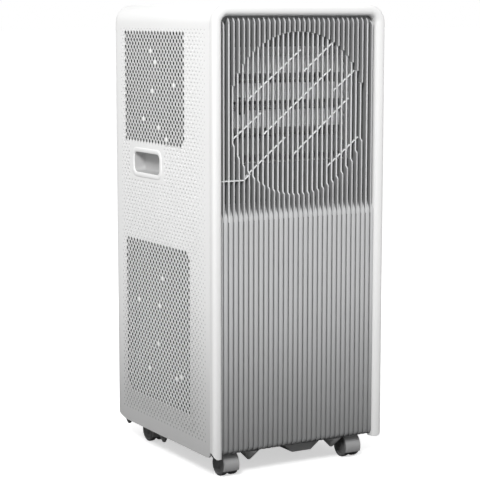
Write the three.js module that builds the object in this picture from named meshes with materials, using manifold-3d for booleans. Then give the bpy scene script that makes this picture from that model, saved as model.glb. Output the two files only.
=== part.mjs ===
// A tall portable air conditioner on four castors, with a ribbed front and side vents.
// Millimetres. X runs left to right, Y from the front to the back, Z up.
// The origin is on the floor under the middle of the cabinet.

import * as THREE from "three";
import { mergeVertices } from "three/addons/utils/BufferGeometryUtils.js";
import Module from "manifold-3d";

const wasm = await Module();
wasm.setup();

// ---- Driving dimensions -------------------------------------------------------------------

const height = 700;
const halfWidth = 149;
const front = -167;
const back = 167;
const wall = 3;
const gap = 0.3;
const past = 5; // how far a cutting tool runs past the surface that it cuts

const shellBottom = 35;
const topCornerRadius = 27;
const rearCornerRadius = 20;
const sideCornerRadius = 23;

const bezelWidth = 16;
const bezelBack = front + 12;
const bezelRounding = 5;

const finCount = 31;
const finPitch = 8.56;
const finWidth = 2.2;
const finFront = front + 5;
const finBack = finFront + 10;
const plateBack = finFront + 16;
const panelHalfWidth = halfWidth - bezelWidth - gap;
const panelTop = height - bezelWidth - gap;
const panelCornerRadius = 14;
const panelBottom = 38;
const rampBottom = 391;
const rampTop = 405;
const discCentreZ = 542;
const discRadius = 119;
const discDepth = 4.6;

const handle = { y0: 3, y1: 89, z0: 442, z1: 473, depth: 18, border: 7 };
const vents = {
  upper: [[-78, 663.5, 0], [116, 663.5, 0], [116, 492, 0], [-70, 492, 0], [-78, 500, 0]],
  lower: [[-86, 334, 8], [119, 334, 0], [119, 105, 0], [100, 90, 0], [-92, 90, 0], [-92, 328, 0]],
};
const ventWall = 1.6;

const bladePivotY = -119;
const bladeHeights = [612, 572, 532, 492];
const bladeHalfLength = 99;
const bladeTilt = 50; // degrees from level, front edge down
const crankLength = 10;
const duct = { x: 108, y0: -143, y1: -95.5, z0: 466, z1: 642, wall: 3 };

const fan = { y: -38, z: 548, radius: 50, halfLength: 100 };
const blower = { x: -8, z: 190, radius: 70, y0: 22, y1: 88, skin: 2.5 };
const collar = { x: 34, z: 325, outer: 63, inner: 60 };

const wheelRadius = 17.5;
const castorWidth = 28;
const castorTrail = 11;
const castorX = 109;
const castorStemY = { front: -119, rear: 115 };
const baseBottom = 38.2;
const baseFloor = 41.4;

const panelInset = { x: 95, y0: -125, y1: -55, radius: 10 };
const buttonNames = ["power", "mode", "fan_speed", "up", "down", "timer"];
const buttonPitch = 27;
const buttonRadius = 7.7;
const buttonY = -74;

// ---- Solid building -----------------------------------------------------------------------

function toSolid(geometry) {
  const bare = new THREE.BufferGeometry();
  bare.setAttribute("position", geometry.getAttribute("position"));
  if (geometry.index) bare.setIndex(geometry.index);
  const merged = mergeVertices(bare, 1e-4);
  return new wasm.Manifold(new wasm.Mesh({
    numProp: 3,
    vertProperties: new Float32Array(merged.attributes.position.array),
    triVerts: new Uint32Array(merged.index.array),
  }));
}

function toGeometry(solid) {
  const data = solid.getMesh();
  const geometry = new THREE.BufferGeometry();
  geometry.setAttribute("position", new THREE.BufferAttribute(data.vertProperties, 3));
  geometry.setIndex(new THREE.BufferAttribute(data.triVerts, 1));
  geometry.computeVertexNormals();
  return geometry;
}

function joined(solids) {
  return solids.reduce((sum, solid) => sum.add(solid));
}

// A closed outline through corners [x, y, radius]; a corner with no radius stays sharp.
function outline(corners, stepsPerTurn = 12) {
  const points = [];
  corners.forEach(([x, y, radius = 0], index) => {
    const corner = new THREE.Vector2(x, y);
    if (radius <= 0) {
      points.push(corner);
      return;
    }
    const before = new THREE.Vector2(...corners.at(index - 1).slice(0, 2)).sub(corner).normalize();
    const next = corners[(index + 1) % corners.length];
    const after = new THREE.Vector2(next[0], next[1]).sub(corner).normalize();
    const halfAngle = Math.acos(before.dot(after)) / 2;
    const bisector = before.clone().add(after).normalize();
    const centre = bisector.multiplyScalar(radius / Math.sin(halfAngle)).add(corner);
    const tangent = radius / Math.tan(halfAngle);
    const start = before.multiplyScalar(tangent).add(corner).sub(centre);
    const end = after.multiplyScalar(tangent).add(corner).sub(centre);
    const sweep = Math.atan2(start.cross(end), start.dot(end));
    const steps = Math.max(1, Math.ceil((Math.abs(sweep) / (2 * Math.PI)) * stepsPerTurn));
    for (let step = 0; step <= steps; step += 1) {
      points.push(start.clone().rotateAround(new THREE.Vector2(), (sweep * step) / steps).add(centre));
    }
  });
  return new THREE.Shape(points);
}

function rectangle(u0, u1, v0, v1, radius = 0) {
  return outline([[u0, v0, radius], [u1, v0, radius], [u1, v1, radius], [u0, v1, radius]]);
}

// An outline in X and Y, extruded up Z.
function alongZ(shape, from, to) {
  const geometry = new THREE.ExtrudeGeometry(shape, { depth: to - from, bevelEnabled: false });
  geometry.translate(0, 0, from);
  return toSolid(geometry);
}

// An outline in X and Z, extruded along Y.
function alongY(shape, from, to) {
  const geometry = new THREE.ExtrudeGeometry(shape, { depth: to - from, bevelEnabled: false });
  geometry.rotateX(Math.PI / 2);
  geometry.translate(0, to, 0);
  return toSolid(geometry);
}

// An outline in Y and Z, extruded along X.
function alongX(shape, from, to) {
  const geometry = new THREE.ExtrudeGeometry(shape, { depth: to - from, bevelEnabled: false });
  geometry.applyMatrix4(new THREE.Matrix4().set(0, 0, 1, from, 1, 0, 0, 0, 0, 1, 0, 0, 0, 0, 0, 1));
  return toSolid(geometry);
}

function block(x0, x1, y0, y1, z0, z1) {
  return alongZ(rectangle(x0, x1, y0, y1), z0, z1);
}

function disc(u, v, radius, sides = 16) {
  const points = [];
  for (let side = 0; side < sides; side += 1) {
    const angle = (2 * Math.PI * side) / sides;
    points.push(new THREE.Vector2(u + radius * Math.cos(angle), v + radius * Math.sin(angle)));
  }
  return new THREE.Shape(points);
}

// A body of revolution about a vertical axis at x, y, from a profile of [radius, z] points.
function turned(profile, x, y, segments = 16) {
  const geometry = new THREE.LatheGeometry(profile.map(([r, z]) => new THREE.Vector2(r, z)), segments);
  geometry.rotateX(Math.PI / 2);
  geometry.translate(x, y, 0);
  return toSolid(geometry);
}

// A tube of round section along a smooth curve through the points.
function pipe(points, radius, steps = 20, sides = 6) {
  const path = new THREE.CatmullRomCurve3(points.map((point) => new THREE.Vector3(...point)));
  const geometry = new THREE.ExtrudeGeometry(disc(0, 0, radius, sides), { steps, extrudePath: path });
  return toSolid(geometry);
}

// The cabinet's rounded block, drawn in by inset on its sides, top and back.
function envelope(inset, bottom) {
  const side = halfWidth - inset;
  const top = height - inset;
  const rear = back - inset;
  const frontView = outline([
    [-side, bottom], [side, bottom],
    [side, top, topCornerRadius - inset], [-side, top, topCornerRadius - inset],
  ], 24);
  const plan = outline([
    [-side - past, front - past], [side + past, front - past],
    [side, front], [side, rear, rearCornerRadius - inset],
    [-side, rear, rearCornerRadius - inset], [-side, front],
  ]);
  const sideView = outline([
    [front - past, bottom - past], [rear - sideCornerRadius, bottom - past],
    [rear - sideCornerRadius, bottom],
    [rear, bottom, sideCornerRadius - inset], [rear, top, sideCornerRadius - inset],
    [rear - sideCornerRadius - past, top], [rear - sideCornerRadius - past, top + past],
    [front - past, top + past],
  ]);
  return alongY(frontView, front - past, rear + past)
    .intersect(alongZ(plan, bottom - past, top + past))
    .intersect(alongX(sideView, -side - past, side + past));
}

// ---- Cabinet ------------------------------------------------------------------------------

function cabinetShell() {
  const skin = envelope(0, shellBottom).intersect(
    block(-halfWidth - past, halfWidth + past, bezelBack + gap, back + past, 0, height + past),
  );
  const cavity = envelope(wall, shellBottom - past);
  const rearWindow = block(-122, 122, back - 2 * wall, back + past, 0, 676);
  const inset = panelInset;
  const panelWindow = alongZ(
    rectangle(-inset.x, inset.x, inset.y0, inset.y1, inset.radius), height - 2 * wall, height + past,
  );
  const grow = 2 + gap;
  const handleHole = alongX(
    rectangle(handle.y0 - grow, handle.y1 + grow, handle.z0 - grow, handle.z1 + grow, 10),
    -halfWidth - past, halfWidth + past,
  );
  let shell = skin.subtract(cavity).subtract(rearWindow).subtract(panelWindow).subtract(handleHole);
  for (const vent of Object.values(vents)) {
    const reach = halfWidth - ventWall;
    shell = shell.subtract(alongX(outline(vent), -reach, reach));
  }
  return shell;
}

// The white frame round the front: two legs and a top bar, rounded outside and inside.
function frontBezel() {
  const inner = halfWidth - bezelWidth;
  const innerTop = height - bezelWidth;
  const shape = outline([
    [-halfWidth, shellBottom, 6], [-inner, shellBottom],
    [-inner, innerTop, 13], [inner, innerTop, 13],
    [inner, shellBottom], [halfWidth, shellBottom, 6],
    [halfWidth, height, topCornerRadius], [-halfWidth, height, topCornerRadius],
  ]);
  const geometry = new THREE.ExtrudeGeometry(shape, {
    depth: bezelBack - front,
    bevelThickness: bezelRounding,
    bevelSize: bezelRounding,
    bevelOffset: -bezelRounding,
    bevelSegments: 3,
  });
  geometry.rotateX(Math.PI / 2);
  geometry.translate(0, front + bezelRounding + (bezelBack - front), 0);
  const keep = block(-halfWidth - past, halfWidth + past, front - past, bezelBack, 0, height + past);
  return toSolid(geometry).intersect(keep);
}

// One upright fin: its front edge steps back over the round recess and curls back at the top.
function fin(x) {
  const chord = Math.sqrt(Math.max(0, discRadius ** 2 - x ** 2));
  const corners = [[finBack, rampBottom - 6], [finFront, rampBottom - 6]];
  if (chord > discDepth) {
    const recessed = finFront + discDepth;
    corners.push([finFront, discCentreZ - chord - discDepth], [recessed, discCentreZ - chord]);
    corners.push([recessed, discCentreZ + chord], [finFront, discCentreZ + chord]);
  }
  const intoCorner = Math.max(0, Math.abs(x) + finWidth / 2 - (panelHalfWidth - panelCornerRadius));
  const drop = panelCornerRadius - Math.sqrt(panelCornerRadius ** 2 - intoCorner ** 2);
  corners.push([finFront, panelTop - 2 - drop, 9], [finBack, panelTop - 2 - drop]);
  return alongX(outline(corners, 8), x - finWidth / 2, x + finWidth / 2);
}

// The closed lower half: broad ribs with a narrow groove at each fin's left side.
function ribbedPlate(finPlaces) {
  const grooveWidth = 1.8;
  const grooveDepth = 3.2;
  const corners = [[-panelHalfWidth, plateBack], [-panelHalfWidth, finFront]];
  for (const x of finPlaces) {
    corners.push([x - grooveWidth, finFront], [x - grooveWidth, finFront + grooveDepth]);
    corners.push([x, finFront + grooveDepth], [x, finFront]);
  }
  corners.push([panelHalfWidth, finFront], [panelHalfWidth, plateBack]);
  const ribs = alongZ(outline(corners), panelBottom, rampTop);
  const section = outline([
    [finFront - 1, 49], [finFront + 9, panelBottom], [plateBack - 4, panelBottom],
    [plateBack - 8, 60], [plateBack - 8, rampBottom - 12], [finBack, rampBottom - 4],
    [finBack, rampTop], [finFront - 1, rampBottom - 3],
  ]);
  return ribs.intersect(alongX(section, -panelHalfWidth - 1, panelHalfWidth + 1));
}

// A thin strap behind the fin fronts, from (x0, z0) to (x1, z1), tying the fins together.
function tie(x0, z0, x1, z1) {
  const across = new THREE.Vector2(z0 - z1, x1 - x0).setLength(1.1);
  const shape = outline([
    [x0 - across.x, z0 - across.y], [x1 - across.x, z1 - across.y],
    [x1 + across.x, z1 + across.y], [x0 + across.x, z0 + across.y],
  ]);
  return alongY(shape, finFront + 5.6, finBack - 1);
}

function frontPanel() {
  const finPlaces = Array.from({ length: finCount }, (_, i) => (i - (finCount - 1) / 2) * finPitch);
  const ties = [
    [-85, 563, 5, 634], [9, 601, 62, 645], [-59, 511, 58, 605], [62, 572, 100, 602],
    [-112, 505, -63, 543], [-132, 446, -95, 446], [-95, 446, -21, 506], [-7, 480, 90, 561],
    [52, 459, 108, 502],
  ];
  const rim = rectangle(-panelHalfWidth, panelHalfWidth, rampBottom - 4, panelTop, panelCornerRadius);
  const window = rectangle(-129, 129, rampBottom - 2, panelTop - 6, 9);
  const frame = alongY(rim, finBack - 5, finBack).subtract(alongY(window, finBack - 10, finBack + past));
  return joined([frame, ribbedPlate(finPlaces), ...finPlaces.map(fin), ...ties.map((ends) => tie(...ends))]);
}

// The rear cover: fixed behind the shell's rear flange, with a raised field inside the flange.
function rearPanel() {
  const plateFront = back - wall - gap - 3;
  const plate = envelope(wall + gap, baseBottom + 24)
    .intersect(block(-140, 140, plateFront, back - wall - gap, 64, 690));
  const field = block(-121.6, 121.6, plateFront - 3, back - 0.8, 66, 675.6);
  const pocket = block(-96, 96, back - 6, back + past, 445, 652);
  let panel = plate.add(field).subtract(pocket);
  const slots = [];
  for (let z = 92; z <= 236; z += 18) slots.push(block(-96, 96, plateFront - past, back + past, z, z + 8));
  for (let z = 462; z <= 636; z += 24) slots.push(block(-86, 86, plateFront - past, back + past, z, z + 14));
  const rounds = [
    alongY(disc(collar.x, collar.z, collar.outer + 1, 24), 150, back + past),
    alongY(disc(-98, 76, 6.5, 16), 150, back + past),
    alongY(disc(98, 76, 6.5, 16), 150, back + past),
    alongX(disc(back - 3, 448, 1.8, 8), -98, 98),
  ];
  for (const tool of [...slots, ...rounds]) panel = panel.subtract(tool);
  return panel;
}

function rearFilterDoor() {
  const plate = block(-95.4, 95.4, back - 4.4, back - 1.1, 446, 651);
  const slots = [];
  for (let z = 462; z <= 630; z += 21) slots.push(block(-84, 84, back - past, back + past, z, z + 13));
  const tab = alongY(rectangle(-14, 14, 641, 652, 4), back - past, back + past);
  const pins = alongX(disc(back - 3, 448, 1.2, 8), -97.2, 97.2);
  return [...slots, tab].reduce((rest, tool) => rest.subtract(tool), plate).add(pins);
}

function rearFilterMesh() {
  const sheet = block(-90, 90, back - 5.7, back - 4.7, 456, 638);
  const cells = [];
  for (const column of [-1, 0, 1]) {
    const middle = column * 59;
    for (const z of [460, 519, 578]) cells.push(block(middle - 27, middle + 27, 150, 170, z, z + 55));
  }
  return cells.reduce((rest, cell) => rest.subtract(cell), sheet);
}

// The base tray: floor, low walls, sump, support cones and a socket for each castor stem.
function baseTray() {
  const outer = envelope(wall + gap, baseBottom)
    .intersect(block(-halfWidth, halfWidth, plateBack + 1, back, 0, 62));
  const pocket = block(-142, 142, plateBack + 4, 156, baseFloor, 80);
  const bowl = [[-12, 40.4], [-12, 37], [12, 17], [46, 17], [72, 37], [72, 40.4]];
  const sump = alongY(outline(bowl), -124, -30);
  const inside = [[-8.5, 46.4], [-8.5, 39], [13.5, 20], [44.5, 20], [68.5, 39], [68.5, 46.4]];
  const sumpHollow = alongY(outline(inside), -121, -33);
  const cones = [];
  for (const side of [-1, 1]) {
    for (const [x, y, tip, radius] of [[126, 38, 14, 13], [133, 148, 22, 9]]) {
      const profile = [[0, tip], [2.5, tip], [radius, baseBottom + 1], [0, baseBottom + 1]];
      cones.push(turned(profile, side * x, y, 8));
    }
    const under = panelBottom - gap;
    const profile = [[0, 21.5], [2.5, 21.5], [16, under - 2], [16, under], [0, under]];
    cones.push(turned(profile, side * 74, -139, 12), alongZ(disc(side * 74, -138, 6, 12), under - 2, 39.4));
  }
  const stems = Object.values(castorStemY).flatMap((y) => [[-castorX, y], [castorX, y]]);
  const sockets = stems.map(([x, y]) => alongZ(disc(x, y, 9, 10), baseBottom + 1, 58));
  const bores = stems.map(([x, y]) => alongZ(disc(x, y, 4.4, 10), 30, 55.5));
  const pads = compressorFeet().map(([x, y]) => alongZ(disc(x, y, 10, 10), baseFloor - 1, 46));
  const body = joined([outer.subtract(pocket), sump, ...cones, ...sockets, ...pads]);
  return [...bores, sumpHollow].reduce((rest, tool) => rest.subtract(tool), body);
}

function handleCup(side) {
  const { y0, y1, z0, z1, depth, border } = handle;
  const face = halfWidth + 1;
  const tube = alongX(rectangle(y0 - 2, y1 + 2, z0 - 2, z1 + 2, 9.7), halfWidth - depth - 1, face);
  const rim = rectangle(y0 - border, y1 + border, z0 - border, z1 + border, 14);
  const flange = alongX(rim, halfWidth + gap, face);
  const hollow = alongX(rectangle(y0, y1, z0, z1, 8), halfWidth + 1 - depth, face + past);
  const cup = tube.add(flange).subtract(hollow);
  return side < 0 ? cup.mirror([1, 0, 0]) : cup;
}

// ---- Control panel ------------------------------------------------------------------------

function buttonX(index) {
  return (index - (buttonNames.length - 1) / 2) * buttonPitch;
}

function topPanel() {
  const { x, y0, y1, radius } = panelInset;
  const under = height - wall - gap;
  const shape = rectangle(-x + gap, x - gap, y0 + gap, y1 - gap, radius);
  const face = alongZ(shape, height - wall - 1, height - 0.4);
  const flange = alongZ(rectangle(-x - 3, x + 3, y0 - 3, y1 + 3, radius), under - 2.5, under);
  const posts = [-74, 74].flatMap((u) => [-119, -61].map((v) => alongZ(disc(u, v, 3, 8), 686, 696)));
  const places = buttonNames.map((name, index) => buttonX(index));
  const holes = places.map((place) => alongZ(disc(place, buttonY, buttonRadius + gap, 14), 680, 710));
  holes.push(alongZ(rectangle(-24, 24, -117, -93, 2), 680, 710));
  return holes.reduce((rest, hole) => rest.subtract(hole), joined([face, flange, ...posts]));
}

function displayWindow() {
  return alongZ(rectangle(-23.7, 23.7, -116.7, -93.3, 2), height - 3.4, height - 0.6);
}

// A push button: a cap in its hole, on a wider collar that stops it under the panel.
function button(index) {
  const x = buttonX(index);
  const cap = [
    [0, height - 12], [2, height - 12], [2, height - 8.8], [9.3, height - 8.8], [9.3, height - 6.4],
    [buttonRadius, height - 6.4], [buttonRadius, height - 0.8], [buttonRadius - 0.8, height], [0, height]];
  return turned(cap, x, buttonY, 14);
}

function controlBoard() {
  return alongZ(rectangle(-80, 80, -123, -58, 3), 684, 685.6);
}

// ---- Air outlet ---------------------------------------------------------------------------

function outletDuct() {
  const { x, y0, y1, z0, z1, wall: skin } = duct;
  const tube = alongY(rectangle(-x, x, z0, z1, 5), y0, y1)
    .subtract(alongY(rectangle(-x + skin, x - skin, z0 + skin, z1 - skin, 3), y0 - past, y1 + past));
  const bores = bladeHeights.map((z) => alongX(disc(bladePivotY, z, 2.4, 8), -x - past, x + past));
  return bores.reduce((rest, bore) => rest.subtract(bore), tube);
}

// A tilted louvre blade with a pivot pin at each end and a crank pin on its left end plate.
function louvreBlade(z) {
  const tilt = THREE.MathUtils.degToRad(bladeTilt);
  const onBlade = (along, up) => [
    bladePivotY + along * Math.cos(tilt) - up * Math.sin(tilt),
    z + along * Math.sin(tilt) + up * Math.cos(tilt),
  ];
  const section = outline([
    onBlade(-16, 0.4), onBlade(-16, -0.4), onBlade(0, -2.4),
    onBlade(16, -0.6), onBlade(16, 0.6), onBlade(0, 2.4),
  ]);
  const plate = alongX(disc(bladePivotY, z, 12, 12), -bladeHalfLength - 1.2, -bladeHalfLength + 0.4);
  const blade = alongX(section, -bladeHalfLength, bladeHalfLength).add(plate);
  const pivots = alongX(disc(bladePivotY, z, 1.8, 8), -duct.x + 0.5, duct.x - 0.5);
  const crankPin = disc(bladePivotY + crankLength, z, 1.3, 8);
  const crank = alongX(crankPin, -bladeHalfLength - 5, -bladeHalfLength + 1);
  return joined([blade, pivots, crank]);
}

function louvreLink() {
  const y = bladePivotY + crankLength;
  const bar = alongX(
    rectangle(y - 4, y + 4, bladeHeights.at(-1) - 7, bladeHeights[0] + 7, 3),
    -bladeHalfLength - 4.6, -bladeHalfLength - 1.8,
  );
  return bladeHeights.reduce((rest, z) => rest.subtract(alongX(disc(y, z, 1.7, 8), -duct.x, 0)), bar);
}

function louvreMotor() {
  const x0 = duct.x + gap;
  const can = alongX(disc(bladePivotY, bladeHeights[1], 13, 20), x0, x0 + 17);
  const middle = bladeHeights[1];
  const shape = rectangle(bladePivotY - 3.5, bladePivotY + 3.5, middle - 20, middle + 20, 3);
  const ears = alongX(shape, x0, x0 + 2);
  return can.add(ears);
}

// A small open clip behind the fins that holds the air sensor.
function sensorBracket() {
  const y0 = duct.y0 - gap - 2.4;
  return alongY(rectangle(-95, -85, 541, 566, 2), y0, duct.y0 - gap)
    .subtract(alongY(rectangle(-92.5, -87.5, 544, 563, 1), y0 - past, duct.y0 + past));
}

// ---- Cold side ----------------------------------------------------------------------------

// The blower casing: a curled wall behind the fan wheel, a cut-off wall in front, two end plates.
function blowerScroll() {
  const floor = new THREE.Vector2(duct.y1 + gap, duct.z0 + 3);
  const outer = [];
  const inner = [];
  const steps = 16;
  for (let step = 0; step <= steps; step += 1) {
    const angle = THREE.MathUtils.degToRad(262 + (148 * step) / steps);
    const radius = 57 + (17 * step) / steps;
    inner.push(new THREE.Vector2(fan.y + radius * Math.cos(angle), fan.z + radius * Math.sin(angle)));
    const reach = radius + 3;
    outer.push(new THREE.Vector2(fan.y + reach * Math.cos(angle), fan.z + reach * Math.sin(angle)));
  }
  const curl = new THREE.Shape([
    floor, ...inner, ...outer.reverse(), new THREE.Vector2(floor.x, floor.y - 3),
  ]);
  const cutOff = outline([[duct.y1 + gap, 639], [duct.y1 + gap, 636], [-72, 603], [-69, 606]]);
  const plate = outline([
    [duct.y1 + gap, 466], [-40, 486], [20, 500], [42, 548], [18, 612], [-40, 630], [duct.y1 + gap, 639],
  ]);
  const inside = 105.8;
  const outside = 108.4;
  const plates = joined([alongX(plate, -outside, -inside), alongX(plate, inside, outside)]);
  const body = joined([alongX(curl, -outside, outside), alongX(cutOff, -outside, outside), plates]);
  return body.subtract(alongX(disc(fan.y, fan.z, 8, 16), -130, 130));
}

function fanWheel() {
  const { y, z, radius, halfLength } = fan;
  const rings = [-halfLength, -1, halfLength - 2].map((x) => alongX(disc(y, z, radius), x, x + 2));
  const hubs = [[-halfLength, -halfLength + 12], [halfLength - 12, halfLength]]
    .map(([from, to]) => alongX(disc(y, z, 9, 16), from, to));
  const blades = [];
  const bladeCount = 12;
  for (let index = 0; index < bladeCount; index += 1) {
    const geometry = new THREE.BoxGeometry(2 * halfLength - 1, 9.5, 1.2);
    geometry.rotateX(THREE.MathUtils.degToRad(35));
    geometry.translate(0, radius - 5.5, 0);
    geometry.rotateX((2 * Math.PI * index) / bladeCount);
    geometry.translate(0, y, z);
    blades.push(toSolid(geometry));
  }
  return joined([...rings, ...hubs, ...blades]).subtract(alongX(disc(y, z, 4.3, 16), -130, 130));
}

function fanShaft() {
  return alongX(disc(fan.y, fan.z, 4, 16), -118, 110);
}

function fanBearing() {
  return alongX(disc(fan.y, fan.z, 14, 20), -119, -108.7)
    .subtract(alongX(disc(fan.y, fan.z, 4.3, 16), -118.4, -100));
}

function fanMotor() {
  return alongX(disc(fan.y, fan.z, 30, 24), 111, 138)
    .add(alongX(disc(fan.y, fan.z, 14, 16), 108.7, 112))
    .subtract(alongX(disc(fan.y, fan.z, 4.3, 16), 100, 110.4));
}

// A finned coil: a core between two end plates, with return bends standing out at one end.
function coil(x, y0, y1, z0, z1) {
  const core = block(-x, x, y0, y1, z0, z1);
  const plates = [-x - 1.5, x - 0.5].map((from) => block(from, from + 2, y0 - 2, y1 + 2, z0 - 3, z1 + 3));
  const bends = [];
  const bendCount = 4;
  for (let index = 0; index < bendCount; index += 1) {
    const geometry = new THREE.TorusGeometry(9, 3.6, 4, 8);
    geometry.translate(x, (y0 + y1) / 2, z0 + ((index + 0.5) * (z1 - z0)) / bendCount);
    bends.push(toSolid(geometry));
  }
  return joined([core, ...plates, ...bends]);
}

// The tray between the cold side and the hot side, with a drain hole and a hole for the pipe.
function condensateTray() {
  const x = halfWidth - wall - 0.6;
  const body = block(-x, x, -139, 142, 406, 428).subtract(block(-x + 3, x - 3, -136, 139, 409, 440));
  return body
    .subtract(alongZ(disc(90, 110, 5, 12), 400, 420))
    .subtract(alongZ(disc(14, -92, 9, 12), 400, 420));
}

// ---- Hot side -----------------------------------------------------------------------------

// The condenser blower's spiral outline with its straight throat, drawn in by inset.
function spiral(inset) {
  const right = blower.x + 104 - inset;
  const left = right - 124 + 2 * inset;
  const top = 392 - inset;
  const points = [new THREE.Vector2(right, top), new THREE.Vector2(left, top)];
  const steps = 20;
  for (let step = 0; step <= steps; step += 1) {
    const angle = THREE.MathUtils.degToRad(105 + (255 * step) / steps);
    const radius = 80 + (24 * step) / steps - inset;
    points.push(new THREE.Vector2(blower.x + radius * Math.cos(angle), blower.z + radius * Math.sin(angle)));
  }
  return new THREE.Shape(points);
}

function condenserScroll() {
  const { x, z, y0, y1, skin } = blower;
  return alongY(spiral(0), y0, y1)
    .subtract(alongY(spiral(skin), y0 + skin, y1 - skin))
    .subtract(alongY(disc(x, z, 52, 28), y1 - 5, y1 + past))
    .subtract(alongY(disc(x, z, 8, 16), y0 - past, y0 + past))
    .subtract(alongY(disc(collar.x, collar.z, collar.inner - 2, 28), y1 - 5, y1 + past));
}

function condenserWheel() {
  const { x, z, radius, y0, y1 } = blower;
  const rear = y1 - 10;
  const plate = alongY(disc(x, z, radius, 28), y0 + 8, y0 + 10);
  const ring = alongY(disc(x, z, radius, 28), rear, rear + 3)
    .subtract(alongY(disc(x, z, radius - 9, 28), rear - 1, rear + 4));
  const hub = alongY(disc(x, z, 12, 16), y0 + 8, y0 + 28);
  const blades = [];
  const bladeCount = 12;
  for (let index = 0; index < bladeCount; index += 1) {
    const geometry = new THREE.BoxGeometry(9, rear - y0 - 7, 1.4);
    geometry.rotateY(THREE.MathUtils.degToRad(35));
    geometry.translate(radius - 5, (y0 + rear) / 2 + 5, 0);
    geometry.rotateY((2 * Math.PI * index) / bladeCount);
    geometry.translate(x, 0, z);
    blades.push(toSolid(geometry));
  }
  return joined([plate, ring, hub, ...blades]).subtract(alongY(disc(x, z, 4.3, 16), 0, y1));
}

function condenserShaft() {
  return alongY(disc(blower.x, blower.z, 4, 16), 8, blower.y0 + 30);
}

function condenserMotor() {
  const { x, z, y0 } = blower;
  const can = alongY(disc(x, z, 33, 24), -28, 14);
  const arms = joined([
    block(x - 46, x + 46, 4, 8, z - 5, z + 5), block(x - 46, x - 38, 4, y0 - gap, z - 5, z + 5),
    block(x + 38, x + 46, 4, y0 - gap, z - 5, z + 5),
  ]);
  return can.add(arms).subtract(alongY(disc(x, z, 4.3, 16), 7.5, y0 + past));
}

function exhaustCollar() {
  const { x, z, outer, inner } = collar;
  const tube = alongY(disc(x, z, outer, 24), blower.y1 + gap, back - 0.5);
  const lip = alongY(disc(x, z, outer + 5, 24), back - 14, back - 10);
  return tube.add(lip).subtract(alongY(disc(x, z, inner, 24), 60, back + past));
}

function compressorFeet() {
  const places = [];
  for (let index = 0; index < 3; index += 1) {
    const angle = THREE.MathUtils.degToRad(90 + 120 * index);
    places.push([-78 + 62 * Math.cos(angle), -74 + 62 * Math.sin(angle)]);
  }
  return places;
}

function compressor() {
  const profile = [[0, 61], [38, 62], [52, 72], [55, 84], [55, 236], [50, 252], [34, 262], [0, 266]];
  const can = turned(profile, -78, -74, 18);
  const feet = compressorFeet();
  const foot = alongZ(outline(feet.map(([x, y]) => [x + (x + 78) * 0.25, y + (y + 74) * 0.25, 12])), 59, 63);
  const terminals = alongZ(rectangle(-92, -64, -90, -62, 5), 255, 274);
  const bores = feet.map(([x, y]) => alongZ(disc(x, y, 4, 12), 50, 70));
  return bores.reduce((rest, bore) => rest.subtract(bore), joined([can, foot, terminals]));
}

function grommet([x, y]) {
  const profile = [[0, 46.3], [8, 46.3], [8, 58.7], [3.6, 58.7], [3.6, 64], [6, 64], [6, 67], [0, 67]];
  return turned(profile, x, y, 12);
}

function accumulator() {
  const profile = [[0, 96], [16, 98], [23, 106], [23, 222], [16, 231], [0, 233]];
  return turned(profile, 14, -92, 20);
}

function suctionPipe() {
  const up = [[14, -92, 233.4], [14, -92, 300], [14, -92, 400]];
  const over = [[16, -60, 440], [24, 0, 444], [24, 42.4, 444]];
  return pipe([...up, ...over], 4.5);
}

function dischargePipe() {
  const out = [[-48, -74, 270], [-50, -60, 292], [-62, 10, 300]];
  const down = [[-120, 60, 280], [-134, 110, 240], [-124, 128, 231]];
  return pipe([...out, ...down], 3.6);
}

function controlBox() {
  return block(52, 134, -136, -72, 60.5, 262)
    .subtract(block(55, 131, -133, -80, 63.5, 259))
    .subtract(block(60, 126, -80.5, -60, 68, 250));
}

function runCapacitor() {
  return turned([[0, 262.3], [19, 262.3], [19, 322], [17, 325], [5, 325], [5, 329], [0, 329]], 92, -104, 20);
}

// ---- Rear fittings ------------------------------------------------------------------------

function drainPlug() {
  return alongY(disc(-98, 76, 6, 16), 150, back - 3).add(alongY(disc(-98, 76, 9, 16), back - 0.5, back))
    .add(alongY(disc(-98, 76, 6, 16), back - 4, back - 0.2));
}

function cordGland() {
  const bore = alongY(disc(98, 76, 3.6, 12), 140, back + past);
  return alongY(disc(98, 76, 6.1, 16), 154, back - 0.3).subtract(bore);
}

// ---- Castors ------------------------------------------------------------------------------

// Both wheels of one castor on their common axle, which is at the origin and runs along X.
function castorWheels() {
  const half = castorWidth / 2;
  const profile = [
    [0, -half], [wheelRadius - 2, -half], [wheelRadius, -half + 2], [wheelRadius, -3.4],
    [3, -3.4], [3, 3.4],
    [wheelRadius, 3.4], [wheelRadius, half - 2], [wheelRadius - 2, half], [0, half],
  ];
  return turned(profile, 0, 0, 20).rotate([0, 90, 0]);
}

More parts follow.
